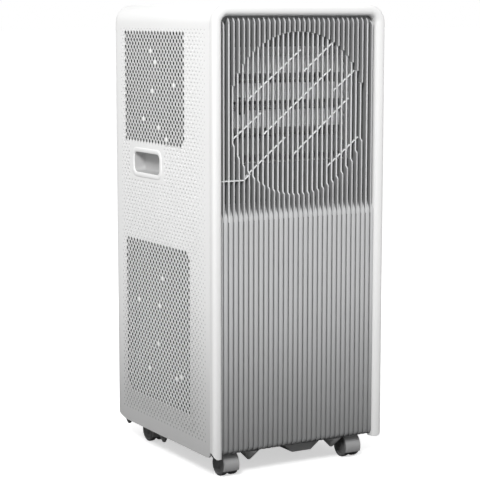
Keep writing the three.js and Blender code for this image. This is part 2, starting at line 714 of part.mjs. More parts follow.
// The hood over the wheels, the web between them and the stem that stands in the base.
function castorHood() {
  const half = castorWidth / 2;
  const inner = wheelRadius + 0.7;
  const outer = wheelRadius + 2.4;
  const points = [];
  const steps = 9;
  const angles = [];
  for (let step = 0; step <= steps; step += 1) {
    angles.push(THREE.MathUtils.degToRad(205 - (185 * step) / steps));
  }
  const onArc = (radius, angle) => new THREE.Vector2(radius * Math.cos(angle), radius * Math.sin(angle));
  for (const angle of angles) points.push(onArc(outer, angle));
  for (const angle of angles.reverse()) points.push(onArc(inner, angle));
  const hood = alongX(new THREE.Shape(points), -half, half);
  const web = alongX(outline([[-8, -5, 4], [8, -5, 4], [14, 13], [0, 19], [-8, 17]]), -2.6, 2.6);
  const boss = alongZ(disc(0, castorTrail, 6.5, 10), 12, outer)
    .intersect(block(-7, 7, castorTrail - 7, castorTrail + 7, 14.8, outer));
  const stem = alongZ(disc(0, castorTrail, 4, 10), outer - 3, 36.5);
  const bore = alongX(disc(0, 0, 3.4, 10), -20, 20);
  const round = disc(0, 0, inner, 14);
  const sweep = alongX(round, 2.6, half + 1).add(alongX(round, -half - 1, -2.6));
  return joined([hood, web, boss.subtract(sweep), stem]).subtract(bore);
}

// ---- Assembly -----------------------------------------------------------------------------

const finishes = {
  white: new THREE.MeshStandardMaterial({ color: 0xf2f2f0, roughness: 0.45, metalness: 0 }),
  grey: new THREE.MeshStandardMaterial({ color: 0xb9bbbc, roughness: 0.5, metalness: 0 }),
  dark: new THREE.MeshStandardMaterial({ color: 0x55585a, roughness: 0.6, metalness: 0 }),
  black: new THREE.MeshStandardMaterial({ color: 0x202224, roughness: 0.5, metalness: 0 }),
  window: new THREE.MeshStandardMaterial({ color: 0x15181a, roughness: 0.15, metalness: 0 }),
  rubber: new THREE.MeshStandardMaterial({ color: 0x2b2c2e, roughness: 0.85, metalness: 0 }),
  board: new THREE.MeshStandardMaterial({ color: 0x2c6b3f, roughness: 0.6, metalness: 0 }),
  steel: new THREE.MeshStandardMaterial({ color: 0xb8bcc0, roughness: 0.35, metalness: 1 }),
  aluminium: new THREE.MeshStandardMaterial({ color: 0xc8ccd0, roughness: 0.4, metalness: 1 }),
  copper: new THREE.MeshStandardMaterial({ color: 0xb87348, roughness: 0.35, metalness: 1 }),
  enamel: new THREE.MeshStandardMaterial({ color: 0x1c1d1f, roughness: 0.4, metalness: 0 }),
};

const airConditioner = new THREE.Group();

function addPiece(name, solid, finish, parent = airConditioner) {
  const mesh = new THREE.Mesh(toGeometry(solid), finishes[finish]);
  mesh.name = name;
  parent.add(mesh);
}

function addCastor(name, x, stemY) {
  const castor = new THREE.Group();
  castor.position.set(x, stemY - castorTrail, wheelRadius);
  addPiece(`castor_${name}_hood`, castorHood(), "dark", castor);
  addPiece(`castor_${name}_wheels`, castorWheels(), "rubber", castor);
  airConditioner.add(castor);
}

addPiece("cabinet_shell", cabinetShell(), "white");
addPiece("front_bezel", frontBezel(), "white");
addPiece("front_panel", frontPanel(), "grey");
addPiece("rear_panel", rearPanel(), "white");
addPiece("rear_filter_door", rearFilterDoor(), "white");
addPiece("rear_filter_mesh", rearFilterMesh(), "black");
addPiece("base_tray", baseTray(), "dark");
addPiece("left_handle_cup", handleCup(-1), "white");
addPiece("right_handle_cup", handleCup(1), "white");

addPiece("top_panel", topPanel(), "grey");
addPiece("display_window", displayWindow(), "window");
buttonNames.forEach((name, index) => addPiece(`${name}_button`, button(index), "white"));
addPiece("control_board", controlBoard(), "board");

addPiece("outlet_duct", outletDuct(), "dark");
bladeHeights.forEach((z, index) => addPiece(`louvre_blade_${index + 1}`, louvreBlade(z), "grey"));
addPiece("louvre_link", louvreLink(), "dark");
addPiece("louvre_motor", louvreMotor(), "steel");
addPiece("sensor_bracket", sensorBracket(), "black");

addPiece("blower_scroll", blowerScroll(), "dark");
addPiece("fan_wheel", fanWheel(), "black");
addPiece("fan_shaft", fanShaft(), "steel");
addPiece("fan_bearing", fanBearing(), "rubber");
addPiece("fan_motor", fanMotor(), "steel");
addPiece("evaporator_coil", coil(112, 46, 80, 440, 652), "aluminium");
addPiece("condensate_tray", condensateTray(), "black");

addPiece("condenser_scroll", condenserScroll(), "black");
addPiece("condenser_wheel", condenserWheel(), "dark");
addPiece("condenser_shaft", condenserShaft(), "steel");
addPiece("condenser_motor", condenserMotor(), "steel");
addPiece("condenser_coil", coil(118, 116, 148, 84, 248), "aluminium");
addPiece("exhaust_collar", exhaustCollar(), "white");
addPiece("compressor", compressor(), "enamel");
compressorFeet().forEach((place, index) => {
  addPiece(`compressor_grommet_${index + 1}`, grommet(place), "rubber");
});
addPiece("accumulator", accumulator(), "enamel");
addPiece("suction_pipe", suctionPipe(), "copper");
addPiece("discharge_pipe", dischargePipe(), "copper");
addPiece("control_box", controlBox(), "steel");
addPiece("run_capacitor", runCapacitor(), "aluminium");

addPiece("drain_plug", drainPlug(), "rubber");
addPiece("cord_gland", cordGland(), "black");

addCastor("front_left", -castorX, castorStemY.front);
addCastor("front_right", castorX, castorStemY.front);
addCastor("rear_left", -castorX, castorStemY.rear);
addCastor("rear_right", castorX, castorStemY.rear);

export default airConditioner;
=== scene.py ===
"""Looks for the portable air conditioner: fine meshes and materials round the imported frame."""
import math

import bmesh
import bpy
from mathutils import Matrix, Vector


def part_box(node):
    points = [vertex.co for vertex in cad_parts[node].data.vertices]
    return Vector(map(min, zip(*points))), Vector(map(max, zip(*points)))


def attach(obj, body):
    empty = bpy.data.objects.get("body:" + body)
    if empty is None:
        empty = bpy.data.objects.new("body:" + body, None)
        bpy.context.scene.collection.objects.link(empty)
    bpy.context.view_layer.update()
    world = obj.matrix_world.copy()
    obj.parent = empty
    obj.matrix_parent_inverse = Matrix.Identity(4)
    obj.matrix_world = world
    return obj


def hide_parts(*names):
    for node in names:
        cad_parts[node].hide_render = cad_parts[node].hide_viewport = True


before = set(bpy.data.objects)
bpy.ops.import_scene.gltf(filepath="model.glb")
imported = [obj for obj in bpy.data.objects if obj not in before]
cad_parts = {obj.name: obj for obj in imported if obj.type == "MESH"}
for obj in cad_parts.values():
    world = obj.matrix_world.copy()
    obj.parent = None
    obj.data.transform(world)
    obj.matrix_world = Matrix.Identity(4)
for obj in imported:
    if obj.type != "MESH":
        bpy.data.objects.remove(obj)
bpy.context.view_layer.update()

MM = 0.001

# ---- Sizes in millimetres, as in the CAD model ----
HALF_WIDTH = 149.0
FRONT = -167.0
BACK = 167.0
TOP = 700.0
SHELL_BOTTOM = 35.0
TOP_RADIUS = 27.0
REAR_RADIUS = 20.0
SIDE_RADIUS = 23.0
FOOT_RISE = 118.0
RIM_FOOT = 9.0
BEZEL_BACK = FRONT + 12.0
BEZEL_WIDTH = 16.0
SHELL_FRONT = BEZEL_BACK + 0.4
SKIN = 3.0
REAR_OPENING = 122.0
REAR_FLANGE_LOW = 60.0
LIP_HEIGHT = 26.0

FIN_COUNT = 31
FIN_PITCH = 8.56
FIN_WIDTH = 2.3
FIN_FRONT = FRONT + 5.0
FIN_BACK = FIN_FRONT + 10.0
FIN_CURL = 10.0
PLATE_BACK = FIN_FRONT + 16.0
PANEL_HALF = HALF_WIDTH - BEZEL_WIDTH - 0.3
PANEL_TOP = TOP - BEZEL_WIDTH - 0.3
PANEL_BOTTOM = 38.0
PANEL_CORNER = 14.0
PANEL_ROLL = 9.0
RAMP_LOW, RAMP_HIGH = 389.0, 412.0
OPENING_HALF = 128.6
DUCT_MOUTH = (-105.0, 105.0, 469.0, 639.0)
DISC_Z, DISC_RADIUS, DISC_DEPTH = 542.0, 119.0, 4.6

# The punched field of each side: a staggered lattice of diamond cells with a hole in each.
CELL_Y, CELL_Z = 5.05, 5.5
FIELD_Y0, FIELD_Y1 = -145.6, 137.2
FIELD_Z0, FIELD_Z1 = 52.7, 668.7
HOLE_RADIUS = 3.12
HOLE_WALL = 0.7
FADE_FRONT, FADE_REAR, FADE_LOW, FADE_HIGH = 45.0, 20.0, 14.0, 16.0
UPPER_VENT = (-78.0, 118.5, 490.0, 660.0)
LOWER_VENT = (-92.0, 119.0, 90.0, 334.0)
UPPER_CUT, LOWER_REAR_CUT, LOWER_TOP_CUT = 8.0, 16.0, 9.0
HANDLE = (3.0, 89.0, 442.0, 473.0)
HANDLE_DEPTH = 18.0
HANDLE_BORDER = 7.0

# Bosses behind the vents that close a hole here and there, as (y, z).
BOSSES = ((31, 625), (16, 619), (-43, 581), (26, 575), (53, 526), (10, 515), (-17, 498),
          (-2, 283), (72, 240), (9, 238), (14, 178), (46, 135), (-52, 136), (-68, 139))
BOSS_RADIUS, BOSS_RISE = 2.7, 0.45

# Straps that tie the fins together, as (x, z, x, z). The corner ones lie close to the fins' front.
TIES = ((-85, 563, 5, 634), (9, 601, 62, 645), (-59, 511, 58, 605), (62, 572, 100, 602),
        (-112, 505, -63, 543), (-84, 455, -21, 506), (-7, 480, 90, 561), (52, 459, 108, 502))
CORNER_TIES = ((-131, 446, -95, 446), (-95, 446, -84, 455))
TIE_SUNK, CORNER_TIE_SUNK = DISC_DEPTH + 1.5, 0.9

# Control panel on the top: half width, front and back edge, and the pitch of its buttons.
CONTROL_HALF, CONTROL_FRONT, CONTROL_BACK = 95.0, -125.0, -55.0
BUTTON_NAMES = ("power", "mode", "fan_speed", "up", "down", "timer")
BUTTON_PITCH = 27.0
BUTTON_RADIUS = 7.6
LAMP_Y = -62.0
DISPLAY = (-24.0, 24.0, -117.0, -93.0)

# Exhaust collar and rear screws.
COLLAR_X, COLLAR_Z, COLLAR_OUTER, COLLAR_INNER, COLLAR_FRONT = 34.0, 325.0, 63.0, 60.0, 88.6
SCREW_X = (-114.0, 114.0)
SCREW_Z = (100.0, 250.0, 420.0, 662.0)

# Castors: wheel radius, distance of the axle behind the stem, and the stems as (x, y).
WHEEL = 17.5
TRAIL = 11.0
CASTORS = {"front_left": (-109.0, -119.0), "front_right": (109.0, -119.0),
           "rear_left": (-109.0, 115.0), "rear_right": (109.0, 115.0)}

# Support cones under the tray on each side, as (x, y, tip height, radius, top height).
CONES = ((126, 38, 14, 13, 38.5), (133, 148, 22, 9, 38.5), (74, -139, 21.5, 16, 37.0))

# Stage: brightness of the surround above and below the horizon, and the sizes on the floor.
ABOVE, BELOW = 0.52, 0.42
FLOOR_REACH = 60000.0
FLOOR_GLOW = 0.56
DARK_DISC = 620.0

# Camera: lens and sensor width in millimetres, place in metres, and angles in degrees.
LENS, SENSOR = 123.16275, 36.0
EYE = (-1.28658, -2.22163, 0.68696)
YAW, PITCH_DOWN = 29.90, 7.85


# ---- Mesh helpers ----

def new_object(name, vertices, faces):
    """A flat-shaded mesh object from millimetre vertices."""
    mesh = bpy.data.meshes.new(name)
    mesh.from_pydata([(x * MM, y * MM, z * MM) for x, y, z in vertices], [], faces)
    mesh.validate()
    obj = bpy.data.objects.new(name, mesh)
    bpy.context.scene.collection.objects.link(obj)
    return obj


def smooth_shaded(obj, angle):
    """Smooth shading, except across edges sharper than the angle in degrees."""
    obj.data.shade_smooth()
    obj.data.set_sharp_from_angle(angle=math.radians(angle))
    return obj


def facing_out(obj):
    """Joins points that coincide and turns the faces of a closed mesh outwards."""
    work = bmesh.new()
    work.from_mesh(obj.data)
    bmesh.ops.remove_doubles(work, verts=work.verts, dist=1e-6)
    bmesh.ops.recalc_face_normals(work, faces=work.faces)
    work.to_mesh(obj.data)
    work.free()
    return obj


class Mesh:
    """Collects vertices and faces in millimetres, then makes one object of them."""

    def __init__(self):
        self.vertices = []
        self.faces = []

    def point(self, x, y, z):
        """Adds a point and returns its number."""
        self.vertices.append((x, y, z))
        return len(self.vertices) - 1

    def grid(self, rows, closed=False, skip=None):
        """Quads between rows of points. skip(row, column) leaves a quad out."""
        index = [[self.point(*p) for p in row] for row in rows]
        for r in range(len(rows) - 1):
            count = len(rows[r])
            for c in range(count if closed else count - 1):
                if skip and skip(r, c):
                    continue
                d = (c + 1) % count
                self.faces.append((index[r][c], index[r][d], index[r + 1][d], index[r + 1][c]))
        return index

    def loft(self, rings):
        """A closed solid through rings of points, capped at both ends."""
        index = self.grid(rings, closed=True)
        self.faces.append(tuple(reversed(index[0])))
        self.faces.append(tuple(index[-1]))

    def box(self, x0, x1, y0, y1, z0, z1, bevel=0.0):
        """A box with its upright and long edges cut by a small bevel."""
        cut = min(bevel, (x1 - x0) / 2.01, (y1 - y0) / 2.01, (z1 - z0) / 2.01)
        rings = []
        for z, inset in ((z0, cut), (z0 + cut, 0.0), (z1 - cut, 0.0), (z1, cut)):
            left, right, near, far = x0 + inset, x1 - inset, y0 + inset, y1 - inset
            rings.append([(left + cut, near, z), (right - cut, near, z), (right, near + cut, z),
                          (right, far - cut, z), (right - cut, far, z), (left + cut, far, z),
                          (left, far - cut, z), (left, near + cut, z)])
        self.loft(rings)

    def turned(self, profile, place, segments=40):
        """A body of revolution. profile is [(radius, along)], place maps (u, v, along) to a point."""
        rings = []
        for radius, along in profile:
            ring = []
            for step in range(segments):
                angle = 2 * math.pi * step / segments
                ring.append(place(radius * math.cos(angle), radius * math.sin(angle), along))
            rings.append(ring)
        self.loft(rings)

    def outlines(self, levels):
        """A closed skin through outlines [(points in x and z, y)] that face the front."""
        return self.grid([[(u, y, v) for u, v in points] for points, y in levels], closed=True)

    def made(self, name, sharp_angle=35.0):
        """The object of all faces collected so far, shaded smooth."""
        return smooth_shaded(facing_out(new_object(name, self.vertices, self.faces)), sharp_angle)


def arc(cx, cy, radius, start, end, steps):
    """Points of an arc, angles in degrees."""
    points = []
    for step in range(steps + 1):
        angle = math.radians(start + (end - start) * step / steps)
        points.append((cx + radius * math.cos(angle), cy + radius * math.sin(angle)))
    return points


def upright(x, y):
    """The place function of a body turned round the vertical line at (x, y)."""
    return lambda u, v, along: (x + u, y + v, along)


def rounded_rectangle(u0, u1, v0, v1, radius, steps=8):
    """Points round a rectangle with rounded corners."""
    left, right, low, high = u0 + radius, u1 - radius, v0 + radius, v1 - radius
    points = []
    for u, v, start in ((right, low, -90), (right, high, 0), (left, high, 90), (left, low, 180)):
        points += arc(u, v, radius, start, start + 90, steps)
    return points


# ---- Materials ----

PATCH_SCALE = 9.0
ROUGH_SPREAD = 0.08


def node(tree, kind, **values):
    """A new shader node. A value goes to the input of that name, or else to the property."""
    made = tree.nodes.new(kind)
    for key, value in values.items():
        if key in made.inputs.keys():
            made.inputs[key].default_value = value
        else:
            setattr(made, key, value)
    return made


def join(tree, source, output, target, socket):
    """Links an output of one node to an input of another."""
    tree.links.new(source.outputs[output], target.inputs[socket])


def two_tone(tree, low, high, start, end):
    """A ramp from the colour low at start to the colour high at end."""
    ramp = node(tree, "ShaderNodeValToRGB")
    for stop, colour, position in zip(ramp.color_ramp.elements, (low, high), (start, end)):
        stop.color = (*colour, 1)
        stop.position = position
    return ramp


def material(name, colour, rough=0.45, metal=0.0, grain=1500.0, bump=0.05, shade=0.04,
             stretch=(1, 1, 1), specular=0.5, coat=0.0, foot=None):
    """A surface with soft colour patches, fine grain in its bump and uneven roughness.
    foot is (high, low, share) in metres: the colour goes over to that share of itself at low. A share under 1
    paints shade towards the foot, and a share over 1 paints light there."""
    made = bpy.data.materials.new(name)
    made.use_nodes = True
    tree = made.node_tree
    shader = tree.nodes["Principled BSDF"]
    shader.inputs["Metallic"].default_value = metal
    shader.inputs["Specular IOR Level"].default_value = specular
    shader.inputs["Coat Weight"].default_value = coat
    place = node(tree, "ShaderNodeTexCoord")
    mapping = node(tree, "ShaderNodeMapping", Scale=stretch)
    join(tree, place, "Object", mapping, "Vector")
    patches = node(tree, "ShaderNodeTexNoise", Scale=PATCH_SCALE, Detail=5.0, Roughness=0.6)
    join(tree, mapping, "Vector", patches, "Vector")
    low = [c * (1 - shade) for c in colour]
    high = [min(1.0, c * (1 + shade)) for c in colour]
    ramp = two_tone(tree, low, high, 0.3, 0.7)
    join(tree, patches, "Fac", ramp, "Fac")
    join(tree, ramp, "Color", shader, "Base Color")
    # Painted shade (painted light for a share over 1) that grows towards the foot, by height.
    if foot:
        shade_foot(tree, place, ramp, shader, foot)
    fine = node(tree, "ShaderNodeTexNoise", Scale=grain, Detail=3.0, Roughness=0.55)
    join(tree, mapping, "Vector", fine, "Vector")
    limits = {"To Min": max(0.02, rough - ROUGH_SPREAD), "To Max": min(1.0, rough + ROUGH_SPREAD)}
    spread = node(tree, "ShaderNodeMapRange", **limits)
    join(tree, fine, "Fac", spread, "Value")
    join(tree, spread, "Result", shader, "Roughness")
    relief = node(tree, "ShaderNodeBump", Strength=bump, Distance=0.0006)
    join(tree, fine, "Fac", relief, "Height")
    join(tree, relief, "Normal", shader, "Normal")
    return made


def shade_foot(tree, place, ramp, shader, foot):
    """Painted shade near the foot of the object: scales the colour towards a share of itself, so it gets
    darker towards the bottom. A share over 1 paints light there instead.
    """
    high, low, share = foot
    split = node(tree, "ShaderNodeSeparateXYZ")
    join(tree, place, "Object", split, "Vector")
    limits = {"From Min": low, "From Max": high, "To Min": share}
    height = node(tree, "ShaderNodeMapRange", interpolation_type="SMOOTHSTEP", **limits)
    join(tree, split, "Z", height, "Value")
    scale = node(tree, "ShaderNodeVectorMath", operation="SCALE")
    join(tree, ramp, "Color", scale, 0)
    join(tree, height, "Result", scale, "Scale")
    join(tree, scale, "Vector", shader, "Base Color")


def striped(name, colour, dark, scale, direction, rough=0.4, metal=1.0, bump=0.6):
    """Thin parallel fins, drawn as a fine wave along one axis in colour and bump."""
    made = material(name, colour, rough=rough, metal=metal, grain=900.0, bump=0.02, shade=0.08)
    tree = made.node_tree
    shader = tree.nodes["Principled BSDF"]
    place = node(tree, "ShaderNodeTexCoord")
    wave = node(tree, "ShaderNodeTexWave", bands_direction=direction, Scale=scale, Distortion=0.15)
    join(tree, place, "Object", wave, "Vector")
    ramp = two_tone(tree, dark, colour, 0.0, 0.6)
    join(tree, wave, "Fac", ramp, "Fac")
    join(tree, ramp, "Color", shader, "Base Color")
    relief = node(tree, "ShaderNodeBump", Strength=bump, Distance=0.001)
    join(tree, wave, "Fac", relief, "Height")
    join(tree, relief, "Normal", shader, "Normal")
    return made


# The shell's white, with painted shade that darkens it towards the foot.
WHITE = material("white_moulded", (0.945, 0.945, 0.941), rough=0.42, grain=1400, shade=0.012,
                 foot=(0.30, 0.02, 0.69))
# Painted shade: a darker copy of the white for the dimples' sloping walls, darker still towards the foot.
DIMPLE_PAINTED_SHADE = material("dimple_wall_painted_shade", (0.72, 0.72, 0.72), rough=0.5, grain=1400, shade=0.02,
                  foot=(0.42, 0.06, 0.5))
# Painted shade and light: the web between the vent holes is a darker copy of the white, with painted light
# lifting it towards the foot.
VENT_WEB_SHADE_AND_LIGHT = material("vent_web_painted_shade_and_light", (0.73, 0.73, 0.728), rough=0.42, grain=1400, shade=0.02,
                    foot=(0.55, 0.2, 1.12))
BOSS_CROWN = material("boss_crown", (0.95, 0.95, 0.946), rough=0.4, grain=1400, bump=0.03, shade=0.005)
# Painted shade: a darker copy of the white for the inside of the grip's cup.
GRIP_PAINTED_SHADE = material("grip_recess_painted_shade", (0.47, 0.47, 0.47), rough=0.5, grain=1400, shade=0.02)
RIM = material("white_rim", (0.84, 0.84, 0.836), rough=0.3, grain=1600, bump=0.02, shade=0.01, coat=0.15)
# The front's grey, with painted shade that darkens it towards the foot.
GREY = material("grey_ribbed", (0.545, 0.549, 0.553), rough=0.38, shade=0.02, foot=(0.31, 0.0, 0.46))
# Painted shade: a darker copy of the grey for the walls and floors of the grooves.
GROOVE_PAINTED_SHADE = material("grey_groove_painted_shade", (0.32, 0.322, 0.324), rough=0.5, shade=0.03)
# Painted light: a lighter copy of the fin grey for the fins' fronts inside the round recess.
FIN_FACE_PAINTED_LIGHT = material("fin_face_painted_light", (0.7, 0.705, 0.71), rough=0.35, bump=0.04, shade=0.015)
FIN_OUTER = material("fin_outer", (0.53, 0.534, 0.538), rough=0.35, bump=0.04, shade=0.015)
# Painted light: a lighter copy of the grille grey for the straps.
STRAP_PAINTED_LIGHT = material("fin_strap_painted_light", (0.76, 0.765, 0.77), rough=0.35, bump=0.04, shade=0.015)
# Painted shade: a dark copy of the fin grey for the fins' flanks and the frame behind them.
FIN_FLANK_PAINTED_SHADE = material("fin_flank_painted_shade", (0.2, 0.202, 0.205), rough=0.5, shade=0.05)
LOUVRE = material("grey_louvre", (0.84, 0.845, 0.85), rough=0.45, bump=0.04, shade=0.03)
# Painted shade: a dark copy of the louvre grey for the lowest blade.
LOW_LOUVRE_PAINTED_SHADE = material("low_louvre_painted_shade", (0.3, 0.302, 0.305), rough=0.45, bump=0.04, shade=0.03)
DUCT = material("duct_grey", (0.86, 0.865, 0.87), rough=0.55, grain=1000, bump=0.08, shade=0.05)
# The duct flange is a real part; its near-black tone is painted shade for the dark space behind the fins.
APRON_PAINTED_SHADE = material("apron_grey_painted_shade", (0.16, 0.162, 0.164), rough=0.55, grain=1200, shade=0.04)
INNER = material("inner_grey", (0.13, 0.132, 0.135), rough=0.6, grain=1000, bump=0.08, shade=0.08)
DARK = material("dark_moulded", (0.045, 0.046, 0.048), rough=0.55, grain=1100, bump=0.1, shade=0.1)
TRAY = material("tray_grey", (0.38, 0.381, 0.383), rough=0.5, grain=1000, bump=0.1, shade=0.1)
HOOD = material("castor_nylon", (0.38, 0.38, 0.383), rough=0.42, grain=1300, bump=0.08, shade=0.06)
TREAD = material("wheel_tread", (0.15, 0.15, 0.152), rough=0.62, grain=900, bump=0.2, shade=0.15)
RUBBER = material("black_rubber", (0.018, 0.018, 0.018), rough=0.75, grain=800, bump=0.15, shade=0.15)
CONTROL = material("control_face", (0.55, 0.555, 0.56), rough=0.25, grain=1800, bump=0.01, coat=0.4)
CAPS = material("button_cap", (0.82, 0.82, 0.82), rough=0.35, bump=0.03, shade=0.01)
MARK = material("button_mark", (0.12, 0.125, 0.13), rough=0.4, bump=0.02)
LAMP = material("status_lamp", (0.25, 0.6, 0.75), rough=0.3, bump=0.01)
SMOKED = material("smoked_window", (0.012, 0.013, 0.015), rough=0.06, grain=600, bump=0.005, coat=0.6)
STEEL = material("zinc_steel", (0.6, 0.61, 0.62), rough=0.34, metal=1.0, grain=160, bump=0.03, shade=0.1,
                 stretch=(1, 14, 1))
COPPER = material("copper_tube", (0.62, 0.3, 0.17), rough=0.3, metal=1.0, grain=300, bump=0.04, shade=0.18)
ENAMEL = material("black_enamel", (0.02, 0.02, 0.022), rough=0.3, grain=700, bump=0.08, shade=0.2, coat=0.3)
BOARD = material("circuit_board", (0.04, 0.17, 0.075), rough=0.35, grain=500, bump=0.2, shade=0.3)
CAN = material("capacitor_can", (0.7, 0.71, 0.72), rough=0.28, metal=1.0, grain=200, bump=0.02, shade=0.06)
COIL = striped("coil_fins", (0.72, 0.73, 0.74), (0.1, 0.1, 0.11), 260.0, "X")
NET = striped("side_net", (0.045, 0.045, 0.047), (0.01, 0.01, 0.01), 300.0, "Y", rough=0.7, metal=0.0,
              bump=0.3)
MESHES = striped("filter_mesh", (0.06, 0.06, 0.062), (0.015, 0.015, 0.015), 420.0, "X", rough=0.7, metal=0.0)

CAD_FINISH = {
    "cabinet_shell": WHITE, "front_bezel": RIM, "front_panel": GREY, "rear_panel": WHITE,
    "rear_filter_door": WHITE, "rear_filter_mesh": MESHES, "base_tray": TRAY,
    "left_handle_cup": WHITE, "right_handle_cup": WHITE, "top_panel": CONTROL,
    "display_window": SMOKED, "control_board": BOARD, "outlet_duct": DUCT, "louvre_link": INNER,
    "louvre_motor": STEEL, "sensor_bracket": DARK, "blower_scroll": DUCT, "fan_wheel": DUCT,
    "fan_shaft": STEEL, "fan_bearing": RUBBER, "fan_motor": STEEL, "evaporator_coil": COIL,
    "condensate_tray": DARK, "condenser_scroll": INNER, "condenser_wheel": DARK,
    "condenser_shaft": STEEL, "condenser_motor": STEEL, "condenser_coil": COIL,
    "exhaust_collar": WHITE, "compressor": ENAMEL, "accumulator": ENAMEL, "suction_pipe": COPPER,
    "discharge_pipe": COPPER, "control_box": STEEL, "run_capacitor": CAN, "drain_plug": RUBBER,
    "cord_gland": DARK,
}
PREFIX_FINISH = {"louvre_blade": LOUVRE, "louvre_blade_4": LOW_LOUVRE_PAINTED_SHADE, "compressor_grommet": RUBBER}


def finish_cad_nodes():
    """Gives every CAD node its material."""
    for name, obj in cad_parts.items():
        finish = CAD_FINISH.get(name)
        for prefix, value in PREFIX_FINISH.items():
            if name.startswith(prefix):
                finish = value
        if name.endswith("_button"):
            finish = CAPS
        if name.startswith("castor"):
            finish = HOOD if name.endswith("hood") else TREAD
        obj.data.materials.clear()
        obj.data.materials.append(finish)


def add(obj, finish, body, slot, *replaced):
    """Gives a new piece its material and body, and hides the CAD nodes it replaces. The slot is not used."""
    obj.data.materials.clear()
    obj.data.materials.append(finish)
    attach(obj, body)
    if replaced:
        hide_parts(*replaced)
    return obj


def refinish(obj, extra, choose):
    """Adds more materials. choose(face) gives the number of the one that a face takes."""
    for finish in extra:
        obj.data.materials.append(finish)
    for face in obj.data.polygons:
        face.material_index = choose(face)


# ---- Cabinet skin ----

def bottom_height(y):
    """Height of the side wall's lower edge, which rounds up at the front and the back."""
    into = SHELL_FRONT + RIM_FOOT - y
    if into > 0:
        return SHELL_BOTTOM + RIM_FOOT - math.sqrt(RIM_FOOT ** 2 - into ** 2)
    if y <= FOOT_RISE:
        return SHELL_BOTTOM
    reach = min(1.0, (y - FOOT_RISE) / (BACK - FOOT_RISE))
    return SHELL_BOTTOM + SIDE_RADIUS * (1 - math.sqrt(1 - reach ** 2))


def arch(inset, y, z_start, heights):
    """Points up the left side, over the top and down the right side, drawn in by inset."""
    side = HALF_WIDTH - inset
    top = TOP - inset
    radius = max(TOP_RADIUS - inset, 0.6)
    low = [(-side, z_start)] + [(-side, z) for z in heights]
    corner = arc(-side + radius, top - radius, radius, 180, 90, 12)
    left = low + corner
    right = [(-x, z) for x, z in reversed(left)]
    return [(x, y, z) for x, z in left + right]


def cabinet_skin():
    """The white sleeve without its punched side fields: sides, top, rear rounding and flange."""
    mesh = Mesh()
    front = [SHELL_FRONT, SHELL_FRONT + 2.0, SHELL_FRONT + 5.0]
    field_rows = range(len(front), len(front) + 4)
    straight = front + [FIELD_Y0, FOOT_RISE, 126.0, 132.0, FIELD_Y1, 142.0, BACK - REAR_RADIUS]
    stations = [(0.0, y) for y in straight]
    stations += arc(REAR_RADIUS, BACK - REAR_RADIUS, REAR_RADIUS, 180, 90, 10)[1:]
    flange = HALF_WIDTH - REAR_OPENING
    stations += [(flange - 0.6, BACK), (flange, BACK - 0.6), (flange, BACK - SKIN)]
    rows = []
    for inset, y in stations:
        start = bottom_height(y) if inset < REAR_RADIUS - 0.01 else REAR_FLANGE_LOW
        low = min(start, REAR_FLANGE_LOW)
        rows.append(arch(inset, y, low, [max(FIELD_Z0, low + 0.5), FIELD_Z1]))
    lip = []
    for inset, y in stations:
        if inset > REAR_RADIUS - 0.5:
            break
        low = bottom_height(y)
        outside, inside = inset - HALF_WIDTH, inset + SKIN - HALF_WIDTH
        middle = inset + SKIN * 0.3 - HALF_WIDTH
        lip.append([(inside, y, low + LIP_HEIGHT), (inside, y, low), (middle, y, low), (outside, y, low)])
    columns = len(rows[0]) - 1

    def in_field(row, column):
        """The side field and the deck are left out: they are made finer elsewhere."""
        beside = row in field_rows and column in (1, columns - 2)
        over = row == field_rows[0] and column == columns // 2
        return beside or over

    mesh.grid(rows, skip=in_field)
    flat = HALF_WIDTH - TOP_RADIUS
    deck = rounded_rectangle(-flat, flat, FIELD_Y0, FOOT_RISE, 0.001)
    well = rounded_rectangle(-CONTROL_HALF, CONTROL_HALF, CONTROL_FRONT, CONTROL_BACK, 10.3)
    levels = [(deck, TOP), (well, TOP), (well, TOP - SKIN)]
    mesh.grid([[(u, v, level) for u, v in points] for points, level in levels], closed=True)
    mesh.grid(lip)
    mesh.grid([[(-x, y, z) for x, y, z in row] for row in lip])
    front_low = bottom_height(SHELL_FRONT)
    mesh.grid([arch(inset, SHELL_FRONT, front_low, [FIELD_Z0, FIELD_Z1]) for inset in (SKIN, 0.0)])
    return mesh


def in_box(y, z, box):
    """True inside a box given as (y0, y1, z0, z1)."""
    y0, y1, z0, z1 = box
    return y0 < y < y1 and z0 < z < z1


def in_vent(y, z):
    """True inside a vent's outline, whose corners are cut on a slant."""
    if in_box(y, z, UPPER_VENT):
        return (y - UPPER_VENT[0]) + (z - UPPER_VENT[2]) > UPPER_CUT
    if in_box(y, z, LOWER_VENT):
        rear_low = (LOWER_VENT[1] - y) + (z - LOWER_VENT[2])
        front_high = (y - LOWER_VENT[0]) + (LOWER_VENT[3] - z)
        return rear_low > LOWER_REAR_CUT and front_high > LOWER_TOP_CUT
    return False


def near_boss(y, z):
    """True in the cells that lie over a boss."""
    return any(abs(y - by) / CELL_Y + abs(z - bz) / CELL_Z < 1.01 for by, bz in BOSSES)


def field_strength(y, z):
    """How full a dimple is: they shrink towards the edges of the punched field."""
    front, rear = (y - FIELD_Y0) / FADE_FRONT, (FIELD_Y1 - y) / FADE_REAR
    low, high = (z - FIELD_Z0) / FADE_LOW, (FIELD_Z1 - z) / FADE_HIGH
    return max(0.0, min(1.0, 0.12 + min(front, rear, low, high)))


# Materials of the lattice, and their numbers. The dimple and vent web ones are darker copies of the white:
# painted shade.
LATTICE_FINISH = (WHITE, DIMPLE_PAINTED_SHADE, VENT_WEB_SHADE_AND_LIGHT, BOSS_CROWN)
WALL, HOLLOW_SHADE, WEB, CROWN = range(4)


